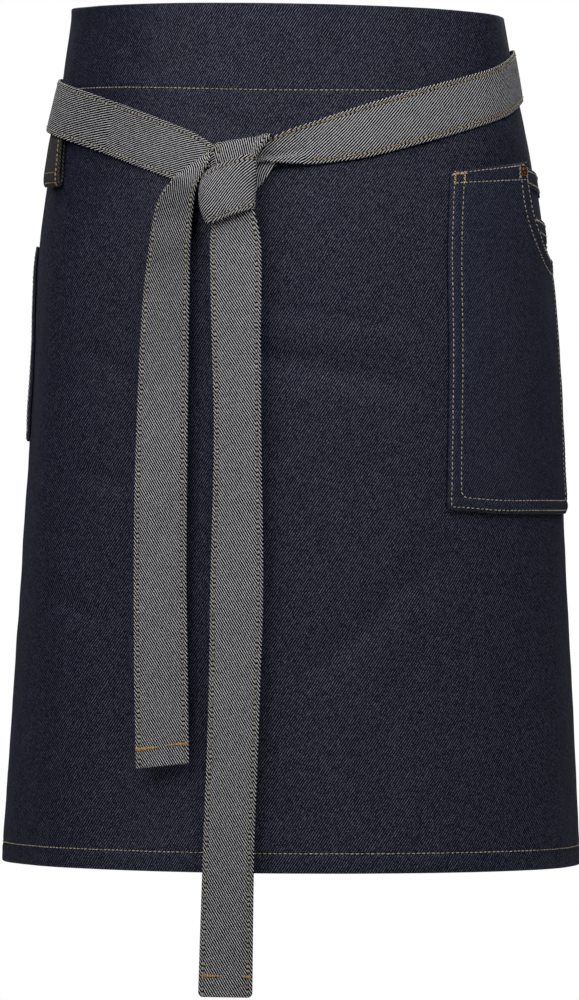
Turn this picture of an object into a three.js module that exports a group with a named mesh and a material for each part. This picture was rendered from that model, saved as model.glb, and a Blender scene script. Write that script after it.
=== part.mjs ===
// Waist apron of raw denim, in the form it has when it is tied.
// Millimetres, Z up, front towards -Y, +X to the right of the front view.
// The origin is the middle of the waist opening, level with the waist stitch line.
import * as THREE from 'three';

// Outline of the hanging cloth, one row for each height
const SECTIONS = [
  { z: 60, halfWidth: 157.2, halfDepth: 118, shift: -2 },
  { z: 0, halfWidth: 166.9, halfDepth: 126, shift: -0.8 },
  { z: -45, halfWidth: 174.9, halfDepth: 133.5, shift: 0.3 },
  { z: -100, halfWidth: 182.7, halfDepth: 141, shift: 0.4 },
  { z: -200, halfWidth: 189.5, halfDepth: 147.5, shift: 3 },
  { z: -300, halfWidth: 195.8, halfDepth: 152, shift: 2.8 },
  { z: -539, halfWidth: 210.2, halfDepth: 161, shift: 0 },
];
const ARC_JOIN = Math.PI / 4;

// Soft dents in the panel: place and half length along the dent, its slope, width and depth
const CREASES = [
  { u: 80, z: -186, halfLength: 62, slope: -0.22, width: 15, depth: 2.6 },
  { u: 96, z: -352, halfLength: 78, slope: 0.46, width: 20, depth: 2.8 },
  { u: -112, z: -348, halfLength: 30, slope: -0.4, width: 10, depth: 2.0 },
  { u: -88, z: -266, halfLength: 26, slope: -0.35, width: 10, depth: 1.8 },
  { u: -90, z: -184, halfLength: 26, slope: -0.42, width: 11, depth: 1.8 },
];

// Panel
const CLOTH = 1.2;
const TOP_Z = 62.5;
const TOP_TILT = 5;
const HEM_Z = -539;
const WAIST_HALF_WIDTH = 380;
const HEM_HALF_WIDTH = 470;
const FACING_LOW_Z = -4;
const HEM_DEPTH = 18;
const SIDE_HEM = 12;
const STEP = 0.6;
const PANEL_COLUMNS = 38;
const PANEL_ROWS = 21;

// Ties
const TIE_WIDTH = 36;
const TIE_THICKNESS = 2;
const TIE_STEP = 11;
const FAN_STEP = 6;

// Path of each tie round the panel, from its sewn end: angle in degrees from the front,
// height of the middle, distance out of the panel, extra distance of the lower edge
const LEFT_TIE_PATH = [
  { angle: 154, z: 40, out: 1.7, lean: 0 },
  { angle: 164, z: 40, out: 1.6, lean: 0 },
  { angle: 168, z: 38.5, out: 1.4, lean: 0 },
  { angle: 174, z: 30, out: 1.3, lean: 0 },
  { angle: 180, z: 21, out: 1.3, lean: 0 },
  { angle: 186, z: 12, out: 1.3, lean: 0 },
  { angle: 192, z: 4.5, out: 1.4, lean: 0 },
  { angle: 198, z: 1.5, out: 1.8, lean: 0 },
  { angle: 206, z: 1, out: 1.9, lean: 0 },
  { angle: 225, z: 1, out: 1.9, lean: 0 },
  { angle: 255, z: 0, out: 2, lean: 0 },
  { angle: 275, z: -1, out: 2.8, lean: 0.6 },
  { angle: 290, z: -2.5, out: 4, lean: 1.4 },
  { angle: 303, z: -5.5, out: 4.6, lean: 2.2 },
  { angle: 318, z: -10, out: 4.2, lean: 1.8 },
  { angle: 328, z: -17.5, out: 2.8, lean: 0.6 },
  { angle: 336, z: -24.5, out: 2, lean: 0.1 },
  { angle: 342.5, z: -31.5, out: 1.8, lean: 0 },
];
const RIGHT_TIE_PATH = [
  { angle: -154, z: 40, out: 1.7, lean: 0 },
  { angle: -160, z: 40, out: 1.7, lean: 0 },
  { angle: -164, z: 40, out: 2.2, lean: 0 },
  { angle: -168, z: 38.5, out: 3.6, lean: 0 },
  { angle: -174, z: 30, out: 4.4, lean: 0 },
  { angle: -180, z: 21, out: 4.5, lean: 0 },
  { angle: -186, z: 12.5, out: 4.4, lean: 0 },
  { angle: -192, z: 5.5, out: 3.9, lean: 0 },
  { angle: -198, z: 3, out: 2.6, lean: 0 },
  { angle: -206, z: 3.5, out: 1.9, lean: 0 },
  { angle: -225, z: 5, out: 1.9, lean: 0 },
  { angle: -250, z: 7.5, out: 2, lean: -0.5 },
  { angle: -278, z: 7, out: 2.2, lean: -0.4 },
  { angle: -299, z: -3, out: 2, lean: 0 },
  { angle: -317, z: -12.2, out: 1.8, lean: 0 },
  { angle: -326, z: -20.7, out: 1.8, lean: 0 },
  { angle: -334.3, z: -28.7, out: 2, lean: 0 },
];

// Each tie through the knot, by its two edges: along the panel from the front middle,
// height, distance out of the panel, and crown of the middle over the line between the edges
const LEFT_TIE_KNOT = [
  { place: 'under the fold', u: [-19, -31], z: [-29, -61.5], out: [2, 2], crown: 0 },
  { place: 'behind', u: [-6.5, -14], z: [-37.5, -68], out: [2.2, 2.4], crown: 0 },
  { place: 'turning up', u: [-4, 7], z: [-39.5, -72], out: [2.8, 2.8], crown: 0 },
  { place: 'turning up', u: [-2.5, 22], z: [-39.5, -63], out: [3, 3], crown: 0 },
  { place: 'turning up', u: [-2, 29], z: [-38.5, -46], out: [3.4, 3.2], crown: 0 },
  { place: 'rising', u: [-2, 32], z: [-37.3, -35], out: [4.2, 3.8], crown: 0 },
  { place: 'over the top', u: [-2, 34.5], z: [-36.3, -30.5], out: [8, 8], crown: 0.5 },
  { place: 'front of the top', u: [-1, 33], z: [-38.5, -33.5], out: [11.8, 11.8], crown: 0.6 },
  { place: 'above the wrap', u: [0.5, 26.5], z: [-44.5, -40], out: [12.2, 12.2], crown: 0.3 },
  { place: 'in the wrap', u: [0.5, 22.5], z: [-49.5, -47.5], out: [12.2, 12.2], crown: 0 },
  { place: 'in the wrap', u: [0, 23.5], z: [-65.5, -65.5], out: [12.2, 12.2], crown: 0 },
  { place: 'in the wrap', u: [-1, 24.5], z: [-79, -78], out: [12.2, 12.2], crown: 0 },
  { place: 'below the wrap', u: [-2, 28], z: [-90, -88], out: [11.4, 11.4], crown: 0.4 },
];
const RIGHT_TIE_KNOT = [
  { place: 'flat', u: [62.5, 64], z: [-20.5, -48.5], out: [2.4, 2.4], crown: 0.6 },
  { place: 'gathering', u: [54, 56], z: [-25, -50], out: [3.2, 3], crown: 1.2 },
  { place: 'gathering', u: [46.5, 47], z: [-29, -52], out: [4.4, 4.2], crown: 1.2 },
  { place: 'going in', u: [37, 36.5], z: [-35, -57.5], out: [5.8, 5.6], crown: 0.4 },
  { place: 'first pass', u: [27.5, 27], z: [-41, -66], out: [6.3, 6.3], crown: 0 },
  { place: 'first pass', u: [13.5, 14], z: [-43, -74.5], out: [6.3, 6.3], crown: 0 },
  { place: 'first pass', u: [-1.5, -0.5], z: [-50.5, -85], out: [6.3, 6.3], crown: 0 },
  { place: 'left fold', u: [-8, -5], z: [-55.5, -90], out: [7.6, 7.6], crown: 1.5 },
  { place: 'left fold', u: [-9.5, -6], z: [-58, -91], out: [10.8, 10.8], crown: 3.6 },
  { place: 'left fold', u: [-5, -2], z: [-54.5, -92], out: [14.4, 14.4], crown: 1.8 },
  { place: 'wrap', u: [11, 13], z: [-48, -87], out: [15.4, 15.4], crown: 0.8 },
  { place: 'wrap', u: [23, 26], z: [-44.5, -83.5], out: [15, 15], crown: 0.6 },
  { place: 'right fold', u: [28, 29.5], z: [-45, -82.5], out: [12.2, 12.2], crown: 0.5 },
  { place: 'second pass', u: [23, 24], z: [-46, -79], out: [9.2, 9.2], crown: 0 },
  { place: 'second pass', u: [13, 16], z: [-42.5, -67], out: [9.2, 9.2], crown: 0 },
  { place: 'second pass', u: [3, 3.5], z: [-40.5, -56], out: [9.2, 9.2], crown: 0 },
  { place: 'coming out', u: [-3, -6.5], z: [-39, -53], out: [9, 8.8], crown: 0 },
  { place: 'opening', u: [-5, -16], z: [-38.3, -56.5], out: [8.2, 7.8], crown: 0 },
  { place: 'opening', u: [-5.5, -26], z: [-37.8, -58.5], out: [8.2, 7.6], crown: 0 },
  { place: 'fold to the tail', u: [-4.5, -32.5], z: [-36.8, -60], out: [10, 9.4], crown: 0.4 },
  { place: 'fold to the tail', u: [-2.5, -31.5], z: [-40, -63.5], out: [11.8, 11.2], crown: 0.4 },
  { place: 'tail', u: [-7.5, -36], z: [-52, -69], out: [11.2, 10.6], crown: 0.6 },
  { place: 'tail', u: [-13.5, -41.5], z: [-63, -80], out: [10.2, 9.6], crown: 0.6 },
  { place: 'tail', u: [-16.8, -45.5], z: [-81, -92], out: [8.6, 8.2], crown: 0.4 },
];

// Hanging tails, by their two edges: along the panel, height, distance out of the panel
const LONG_TAIL = [
  { z: -104, u: [-3, 30.5], out: [9, 9] },
  { z: -122, u: [-3, 31], out: [7.5, 7.5] },
  { z: -165, u: [-4, 31], out: [5.2, 7] },
  { z: -234, u: [-3, 31.5], out: [4, 7.5] },
  { z: -344, u: [-2, 33.5], out: [5, 5] },
  { z: -413, u: [-2, 32.8], out: [5, 5] },
  { z: -465, u: [-2, 32.5], out: [5, 5] },
  { z: -516, u: [-3, 32], out: [5.5, 5] },
  { z: -568, u: [-4, 32], out: [8, 4.5] },
  { z: -624, u: [-5, 31.5], out: [10, 4] },
];
const SHORT_TAIL = [
  { z: -105, u: [-19, -48], out: [7.4, 7.4] },
  { z: -137, u: [-21, -53.5], out: [5.6, 5.6] },
  { z: -172, u: [-22.5, -58], out: [5, 5] },
  { z: -224, u: [-24, -60], out: [4.2, 6] },
  { z: -276, u: [-23.5, -59], out: [3.4, 8.5] },
  { z: -327, u: [-22, -56.5], out: [3.2, 10.5] },
  { z: -400, u: [-20.5, -54.5], out: [3.2, 11] },
  { z: -466, u: [-18.5, -52.5], out: [3.2, 11] },
];

// Pockets: edges along the panel, heights of the top at the two edges and of the bottom
const POCKET_GAP = 0.3;
const SEAM = 10;
const RIGHT_POCKET = { front: 161, rear: 295, topFront: -54.5, topRear: -46, bottom: -292 };
const OPENING = { halfWidth: 65, halfHeight: 73, gape: 3.6, gapeReach: 18 };
const BACKING = { topZ: -49.5, setBack: 1.5, hem: 13 };
const COIN_POCKET = { front: 232, rear: 283, topZ: -83, bottom: -166, hem: 13 };
const LEFT_POCKET = { front: -214, rear: -346, topZ: -102, bottom: -241, hem: 30 };
const RIVET = { u: 223.5, z: -52.7, radius: 4.2, height: 1.6, sides: 20 };

// Side loop: a strap folded double, from its sewn top round the fold and up behind
const LOOP = { front: -157, rear: -185, thickness: 1.9, shear: 0.1 };
const LOOP_PATH = [
  { z: -5, out: 1.4 },
  { z: -14, out: 2 },
  { z: -25, out: 3.6 },
  { z: -40, out: 4 },
  { z: -57, out: 4 },
  { z: -60.5, out: 2.7 },
  { z: -57, out: 1.4 },
  { z: -44, out: 1.4 },
  { z: -30, out: 1.35 },
];

const ramp = (from, to, x) => THREE.MathUtils.smoothstep(x, from, to);

// Slope of one column at one row, kept between its neighbours' slopes
function columnSlope(key, i) {
  const last = SECTIONS.length - 1;
  const rise = (j) => (SECTIONS[j + 1][key] - SECTIONS[j][key]) / (SECTIONS[j + 1].z - SECTIONS[j].z);
  if (i === 0) return rise(0);
  if (i === last) return rise(last - 1);
  const before = rise(i - 1);
  const after = rise(i);
  return before * after <= 0 ? 0 : (2 * before * after) / (before + after);
}

function sectionValue(key, height) {
  const last = SECTIONS.length - 1;
  const z = THREE.MathUtils.clamp(height, SECTIONS[last].z, SECTIONS[0].z);
  const i = Math.min(SECTIONS.findIndex((row, j) => j < last && SECTIONS[j + 1].z <= z), last - 1);
  const span = SECTIONS[i + 1].z - SECTIONS[i].z;
  const t = (z - SECTIONS[i].z) / span;
  const start = SECTIONS[i][key];
  const end = SECTIONS[i + 1][key];
  const startSlope = columnSlope(key, i) * span;
  const endSlope = columnSlope(key, i + 1) * span;
  const bend = (1 - t) * startSlope - t * endSlope;
  const lean = (1 - 2 * t) * (start - end);
  return start * (1 - t) + end * t + t * (1 - t) * (bend + lean);
}

// Oval of four arcs at one height: flatter arcs at front and back, tighter ones at the sides
function oval(z) {
  const halfWidth = sectionValue('halfWidth', z);
  const halfDepth = sectionValue('halfDepth', z);
  const spread = (halfWidth - halfDepth) / (2 * Math.sin(ARC_JOIN) - 1);
  const side = halfWidth - spread * Math.sin(ARC_JOIN);
  return { halfWidth, halfDepth, side, front: side + spread, shift: sectionValue('shift', z) };
}

// Direction the cloth faces, from its length along the cloth measured from the front middle
function facingAngle(u, z) {
  const { side, front } = oval(z);
  const frontArc = front * ARC_JOIN;
  const sideArc = side * (Math.PI - 2 * ARC_JOIN);
  const length = Math.abs(u);
  let angle = length / front;
  if (length > frontArc) angle = ARC_JOIN + (length - frontArc) / side;
  if (length > frontArc + sideArc) angle = Math.PI - ARC_JOIN + (length - frontArc - sideArc) / front;
  return Math.sign(u) * angle;
}

function pointAtAngle(angle, z, out) {
  const { halfWidth, halfDepth, side, front, shift } = oval(z);
  const turn = Math.atan2(Math.sin(angle), Math.cos(angle));
  let centre = { x: Math.sign(turn) * (halfWidth - side), y: 0, radius: side };
  if (Math.abs(turn) <= ARC_JOIN) centre = { x: 0, y: front - halfDepth, radius: front };
  if (Math.abs(turn) >= Math.PI - ARC_JOIN) centre = { x: 0, y: halfDepth - front, radius: front };
  const reach = centre.radius + out;
  return new THREE.Vector3(
    shift + centre.x + reach * Math.sin(turn), centre.y - reach * Math.cos(turn), z);
}

function dent(u, z) {
  let depth = 0;
  for (const crease of CREASES) {
    const along = (u - crease.u) / crease.halfLength;
    const across = (z - crease.z - crease.slope * (u - crease.u)) / crease.width;
    depth += crease.depth * Math.exp(-(along ** 4) - across ** 2);
  }
  return depth;
}

// Place on the cloth: length along it, height, distance out of its outer face
function clothPoint(u, z, out) {
  return pointAtAngle(facingAngle(u, z), z, out - dent(u, z));
}

// Closed solid of a sheet from two grids of points, columns to the right and rows upwards
function sheetSolid(columns, rows, outerPoint, innerPoint) {
  const positions = [];
  const index = [];
  for (const point of [outerPoint, innerPoint]) {
    for (let r = 0; r <= rows; r += 1) {
      for (let c = 0; c <= columns; c += 1) positions.push(...point(c, r).toArray());
    }
  }
  const side = (columns + 1) * (rows + 1);
  const at = (c, r) => r * (columns + 1) + c;
  for (let r = 0; r < rows; r += 1) {
    for (let c = 0; c < columns; c += 1) {
      const [a, b, d, e] = [at(c, r), at(c + 1, r), at(c + 1, r + 1), at(c, r + 1)];
      index.push(a, b, d, a, d, e);
      index.push(side + a, side + d, side + b, side + a, side + e, side + d);
    }
  }
  const border = [];
  for (let c = 0; c < columns; c += 1) border.push([at(c, 0), at(c + 1, 0)]);
  for (let r = 0; r < rows; r += 1) border.push([at(columns, r), at(columns, r + 1)]);
  for (let c = columns; c > 0; c -= 1) border.push([at(c, rows), at(c - 1, rows)]);
  for (let r = rows; r > 0; r -= 1) border.push([at(0, r), at(0, r - 1)]);
  for (const [a, b] of border) index.push(b, a, side + a, b, side + a, side + b);
  return indexedGeometry(positions, index);
}

function indexedGeometry(positions, index) {
  const geometry = new THREE.BufferGeometry();
  geometry.setAttribute('position', new THREE.Float32BufferAttribute(positions, 3));
  geometry.setIndex(index);
  geometry.computeVertexNormals();
  return geometry;
}

// Even steps between two ends, with the turned edges at both ends as steps of their own
function spacedWithEdges(start, end, count, startEdge, endEdge) {
  const stops = [start];
  if (startEdge > 0) stops.push(start + startEdge, start + startEdge + STEP);
  const first = stops[stops.length - 1];
  const last = endEdge > 0 ? end - endEdge - STEP : end;
  for (let i = 1; i < count; i += 1) stops.push(first + ((last - first) * i) / count);
  stops.push(last);
  if (endEdge > 0) stops.push(end - endEdge, end);
  return stops;
}

// Main panel with the turned facing at the waist, the hem and the two side hems
function panelGeometry() {
  const heights = spacedWithEdges(HEM_Z, TOP_Z, PANEL_ROWS, HEM_DEPTH, TOP_Z - FACING_LOW_Z);
  heights.splice(heights.length - 1, 0, TOP_Z / 3, (2 * TOP_Z) / 3);
  const lines = spacedWithEdges(-HEM_HALF_WIDTH, HEM_HALF_WIDTH, PANEL_COLUMNS, SIDE_HEM, SIDE_HEM);
  const narrowing = (z) =>
    THREE.MathUtils.mapLinear(z, TOP_Z, HEM_Z, WAIST_HALF_WIDTH / HEM_HALF_WIDTH, 1);
  const place = (c, r) => {
    const level = heights[r];
    const u = lines[c] * narrowing(level);
    const tilt = 1 - (TOP_TILT / TOP_Z) * Math.sin(facingAngle(u, level));
    return { u, z: level > 0 ? level * tilt : level };
  };
  const sideEdge = HEM_HALF_WIDTH - SIDE_HEM - 1e-6;
  const isDouble = (c, r) => heights[r] <= HEM_Z + HEM_DEPTH + 1e-6
    || heights[r] >= FACING_LOW_Z - 1e-6 || Math.abs(lines[c]) >= sideEdge;
  const outer = (c, r) => {
    const { u, z } = place(c, r);
    return clothPoint(u, z, 0);
  };
  const inner = (c, r) => {
    const { u, z } = place(c, r);
    return clothPoint(u, z, isDouble(c, r) ? -2 * CLOTH : -CLOTH);
  };
  return sheetSolid(lines.length - 1, heights.length - 1, outer, inner);
}

// Patch on the panel, between two lengths along it and from its bottom to a top that may bend
function patchGeometry(lines, rowShares, bottomAt, topAt, innerAt, outerAt) {
  const place = (c, r) => {
    const u = lines[c];
    return { u, z: THREE.MathUtils.lerp(bottomAt(u), topAt(u), rowShares[r]) };
  };
  const outer = (c, r) => {
    const { u, z } = place(c, r);
    return clothPoint(u, z, outerAt(u, z));
  };
  const inner = (c, r) => {
    const { u, z } = place(c, r);
    return clothPoint(u, z, innerAt(u, z));
  };
  return sheetSolid(lines.length - 1, rowShares.length - 1, outer, inner);
}

function backingGeometry() {
  const { front, rear, bottom } = RIGHT_POCKET;
  const height = BACKING.topZ - bottom;
  const shares = spacedWithEdges(0, height, 10, 0, BACKING.hem).map((rise) => rise / height);
  const hemShare = 1 - BACKING.hem / height;
  const hemStart = rear - OPENING.halfWidth - SEAM;
  const topAt = (u) => Math.min(BACKING.topZ, pocketTopLine(u) - BACKING.setBack);
  const isHem = (u, z) => (z - bottom) / (topAt(u) - bottom) >= hemShare - 1e-6 && u >= hemStart;
  const outerAt = (u, z) => POCKET_GAP + (isHem(u, z) ? 2 * CLOTH : CLOTH);
  const lines = spacedWithEdges(front, rear, 16, 0, 0);
  return patchGeometry(lines, shares, () => bottom, topAt, () => POCKET_GAP, outerAt);
}

function coinPocketGeometry() {
  const { front, rear, topZ, bottom, hem } = COIN_POCKET;
  const base = 2 * POCKET_GAP + CLOTH;
  const height = topZ - bottom;
  const shares = spacedWithEdges(0, height, 4, 0, hem).map((rise) => rise / height);
  const outerAt = (u, z) => base + (z >= topZ - hem - 1e-6 ? 1.4 : 1) * CLOTH;
  const lines = spacedWithEdges(front, rear, 7, 0, 0);
  return patchGeometry(lines, shares, () => bottom, () => topZ, () => base, outerAt);
}

// Straight part of the right pocket's top, up to the corner of the opening
function pocketTopLine(u) {
  const { front, rear, topFront, topRear } = RIGHT_POCKET;
  return THREE.MathUtils.mapLinear(u, front, rear - OPENING.halfWidth, topFront, topRear);
}

// Top edge of the right pocket, level to the rivet and then down along the curved opening
function openingTop(u) {
  const { rear, topRear } = RIGHT_POCKET;
  if (u <= rear - OPENING.halfWidth) return pocketTopLine(u);
  const share = Math.min(1, (rear - u) / OPENING.halfWidth);
  return topRear - OPENING.halfHeight * Math.sqrt(1 - share * share);
}

// Distance of the pocket's outer face out of the panel, larger beside the opening, which gapes
function pocketFrontOut(u, z) {
  const { front, rear, topRear } = RIGHT_POCKET;
  const { halfWidth, halfHeight, gape, gapeReach } = OPENING;
  const bulge = 0.9 * ramp(-230, -150, z) * ramp(front, front + 50, u);
  const radius = Math.hypot((rear - u) / halfWidth, (topRear - z) / halfHeight);
  const inset = (Math.max(1, radius) - 1) * halfWidth;
  const lift = gape * Math.exp(-((inset / gapeReach) ** 2)) * ramp(-128, -94, z);
  return 2 * POCKET_GAP + 3 * CLOTH + 0.2 + bulge + lift;
}

function pocketFrontGeometry() {
  const { front, rear, bottom } = RIGHT_POCKET;
  const base = 2 * POCKET_GAP + CLOTH;
  const corner = rear - OPENING.halfWidth;
  const flatLines = spacedWithEdges(front, corner, 6, SEAM, 0);
  const curveLines = [];
  for (let i = 1; i <= 9; i += 1) {
    curveLines.push(rear - OPENING.halfWidth * Math.cos((i * Math.PI) / 18));
  }
  curveLines.splice(8, 0, rear - SEAM - STEP, rear - SEAM);
  const lines = [...flatLines, ...curveLines].sort((a, b) => a - b);
  const height = openingTop(rear) - bottom;
  const seamShare = SEAM / height;
  const shares = spacedWithEdges(0, height, 9, SEAM, 0).map((rise) => rise / height);
  const isSeam = (u, z) => {
    const rise = (z - bottom) / (openingTop(u) - bottom);
    return u <= front + SEAM + 1e-6 || u >= rear - SEAM - 1e-6 || rise <= seamShare + 1e-6;
  };
  const innerAt = (u, z) => (isSeam(u, z) ? base : pocketFrontOut(u, z) - CLOTH);
  return patchGeometry(lines, shares, () => bottom, openingTop, innerAt, pocketFrontOut);
}

function leftPocketGeometry() {
  const { front, rear, topZ, bottom, hem } = LEFT_POCKET;
  const height = topZ - bottom;
  const lines = spacedWithEdges(rear, front, 11, SEAM, SEAM);
  const shares = spacedWithEdges(0, height, 6, SEAM, hem).map((rise) => rise / height);
  const bulge = (u, z) => 0.3 * ramp(topZ + 4, topZ - hem, z) * ramp(bottom - 4, bottom + 30, z);
  const outerAt = (u, z) => POCKET_GAP + 2 * CLOTH + bulge(u, z);
  const isSeam = (u, z) => u >= front - SEAM - 1e-6 || u <= rear + SEAM + 1e-6 || z <= bottom + SEAM + 1e-6;
  const innerAt = (u, z) => (isSeam(u, z) ? POCKET_GAP : outerAt(u, z) - CLOTH);
  return patchGeometry(lines, shares, () => bottom, () => topZ, innerAt, outerAt);
}

// Rivet at the corner of the curved opening: a low dome turned about its own axis
function rivetGeometry() {
  const { u, z, radius, height, sides } = RIVET;
  const profile = [
    new THREE.Vector2(0, 0),
    new THREE.Vector2(radius, 0),
    new THREE.Vector2(radius, 0.45 * height),
    new THREE.Vector2(0.78 * radius, 0.8 * height),
    new THREE.Vector2(0.45 * radius, height),
    new THREE.Vector2(0.3 * radius, 0.75 * height),
    new THREE.Vector2(0, 0.7 * height),
  ];
  const geometry = new THREE.LatheGeometry(profile, sides);
  const face = (du, dz) => clothPoint(u + du, z + dz, pocketFrontOut(u + du, z + dz) + POCKET_GAP);
  const alongU = face(1, 0).sub(face(-1, 0));
  const alongZ = face(0, 1).sub(face(0, -1));
  const axis = alongU.cross(alongZ).normalize();
  const foot = face(0, 0);
  geometry.applyQuaternion(new THREE.Quaternion().setFromUnitVectors(new THREE.Vector3(0, 1, 0), axis));
  geometry.translate(foot.x, foot.y, foot.z);
  return geometry;
}

// Closed solid of a flat strap from rows of its two edges and its middle
function strapSolid(rows, thickness, reverse) {
  const positions = [];
  const index = [];
  rows.forEach((row, i) => {
    const before = rows[Math.max(0, i - 1)].middle;
    const after = rows[Math.min(rows.length - 1, i + 1)].middle;
    const along = after.clone().sub(before);
    const across = row.edges[0].clone().sub(row.edges[1]);
    const half = along.cross(across).setLength((reverse ? -0.5 : 0.5) * thickness);
    const line = [row.edges[0], row.middle, row.edges[1]];
    for (const point of line) positions.push(...point.clone().add(half).toArray());
    for (const point of line.reverse()) positions.push(...point.clone().sub(half).toArray());
  });
  const ring = 6;
  const face = (a, b, c) => (reverse ? index.push(a, c, b) : index.push(a, b, c));
  for (let i = 0; i < rows.length - 1; i += 1) {
    for (let k = 0; k < ring; k += 1) {
      const next = (k + 1) % ring;
      face(i * ring + k, (i + 1) * ring + next, (i + 1) * ring + k);
      face(i * ring + k, i * ring + next, (i + 1) * ring + next);
    }
  }
  const tail = (rows.length - 1) * ring;
  for (const [a, b, c, d] of [[0, 1, 4, 5], [1, 2, 3, 4]]) {
    face(a, c, b);
    face(a, d, c);
    face(tail + a, tail + b, tail + c);
    face(tail + a, tail + c, tail + d);
  }
  return indexedGeometry(positions, index);
}

// Rows of a strap made finer along three smooth curves: both edges and the middle
function finerRows(rows, step) {
  const curve = (points) => new THREE.CatmullRomCurve3(points, false, 'centripetal');
  const curves = [
    curve(rows.map((row) => row.edges[0])),
    curve(rows.map((row) => row.middle)),
    curve(rows.map((row) => row.edges[1])),
  ];
  const fine = [];
  rows.slice(0, -1).forEach((row, i) => {
    const next = rows[i + 1];
    const reach = Math.max(...[0, 1].map((k) => row.edges[k].distanceTo(next.edges[k])));
    const count = Math.max(1, Math.round(reach / (row.folded ? FAN_STEP : step)));
    for (let k = 0; k < count; k += 1) {
      const [upper, middle, lower] = curves.map((line) => line.getPoint((i + k / count) / (rows.length - 1)));
      fine.push({ edges: [upper, lower], middle });
    }
  });
  fine.push(rows[rows.length - 1]);
  return fine;
}

function edgeRow(upper, lower, folded) {
  return { edges: [upper, lower], middle: upper.clone().lerp(lower, 0.5), folded };
}

// Rows of a tie round the panel: edges square to the path, half a width to each side
function pathRows(path) {
  const reach = (row) => sectionValue('halfWidth', row.z) + row.out;
  return path.map((row, i) => {
    const before = path[Math.max(0, i - 1)];
    const after = path[Math.min(path.length - 1, i + 1)];
    const run = THREE.MathUtils.degToRad(Math.abs(after.angle - before.angle)) * reach(row) * 0.9;
    const slope = Math.atan2(after.z - before.z, run);
    const swing = (0.5 * TIE_WIDTH * Math.sin(slope)) / reach(row);
    const turn = Math.sign(after.angle - before.angle) * swing;
    const rise = 0.5 * TIE_WIDTH * Math.cos(slope);
    const angle = THREE.MathUtils.degToRad(row.angle);
    return edgeRow(
      pointAtAngle(angle - turn, row.z + rise, row.out - row.lean),
      pointAtAngle(angle + turn, row.z - rise, row.out + row.lean), false);
  });
}

// Rows of a tie in the knot, with the middle raised by the crown on the side that shows
function knotRows(table) {
  const rows = table.map((row) => edgeRow(
    clothPoint(row.u[0], row.z[0], row.out[0]),
    clothPoint(row.u[1], row.z[1], row.out[1]), true));
  rows.forEach((row, i) => {
    const before = rows[Math.max(0, i - 1)].middle;
    const after = rows[Math.min(rows.length - 1, i + 1)].middle;
    const along = after.clone().sub(before);
    const across = row.edges[0].clone().sub(row.edges[1]);
    row.lift = along.cross(across).normalize();
  });
  return rows.map((row, i) => {
    const middle = row.middle.clone().addScaledVector(row.lift, table[i].crown);
    return { edges: row.edges, middle, folded: true };
  });
}

function tailRows(table) {
  return table.map((row) => edgeRow(
    clothPoint(row.u[0], row.z, row.out[0]), clothPoint(row.u[1], row.z, row.out[1]), false));
}

function leftTieGeometry() {
  const rows = [...pathRows(LEFT_TIE_PATH), ...knotRows(LEFT_TIE_KNOT), ...tailRows(LONG_TAIL)];
  return strapSolid(finerRows(rows, TIE_STEP), TIE_THICKNESS, false);
}

function rightTieGeometry() {
  const rows = [...pathRows(RIGHT_TIE_PATH), ...knotRows(RIGHT_TIE_KNOT), ...tailRows(SHORT_TAIL)];
  return strapSolid(finerRows(rows, TIE_STEP), TIE_THICKNESS, false);
}

function sideLoopGeometry() {
  const rows = LOOP_PATH.map((row) => {
    const across = (share) =>
      clothPoint(THREE.MathUtils.lerp(LOOP.front, LOOP.rear, share) - LOOP.shear * row.z, row.z, row.out);
    return { edges: [across(0), across(1)], middle: across(0.5) };
  });
  return strapSolid(rows, LOOP.thickness, false);
}

const denim = () => new THREE.MeshStandardMaterial({ name: 'denim', color: 0x23242f, roughness: 0.9 });
const pocketDenim = () => new THREE.MeshStandardMaterial({ name: 'pocket_denim', color: 0x20212c, roughness: 0.9 });
const tieTwill = () => new THREE.MeshStandardMaterial({ name: 'tie_twill', color: 0x67666a, roughness: 0.9 });
const loopTwill = () => new THREE.MeshStandardMaterial({ name: 'loop_twill', color: 0x3a3a40, roughness: 0.9 });
const copper = () =>
  new THREE.MeshStandardMaterial({ name: 'rivet_copper', color: 0xa0663a, roughness: 0.4, metalness: 1 });

function piece(name, geometry, material) {
  const mesh = new THREE.Mesh(geometry, material);
  mesh.name = name;
  return mesh;
}

function waistApron() {
  const apron = new THREE.Group();
  apron.name = 'waist_apron';
  apron.add(
    piece('apron_panel', panelGeometry(), denim()),
    piece('tie_left', leftTieGeometry(), tieTwill()),
    piece('tie_right', rightTieGeometry(), tieTwill()),
    piece('pocket_right_backing', backingGeometry(), pocketDenim()),
    piece('pocket_right_coin', coinPocketGeometry(), pocketDenim()),
    piece('pocket_right_front', pocketFrontGeometry(), pocketDenim()),
    piece('pocket_rivet', rivetGeometry(), copper()),
    piece('pocket_left', leftPocketGeometry(), pocketDenim()),
    piece('side_loop', sideLoopGeometry(), loopTwill()),
  );
  return apron;
}

export default waistApron();
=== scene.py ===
import math

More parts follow.
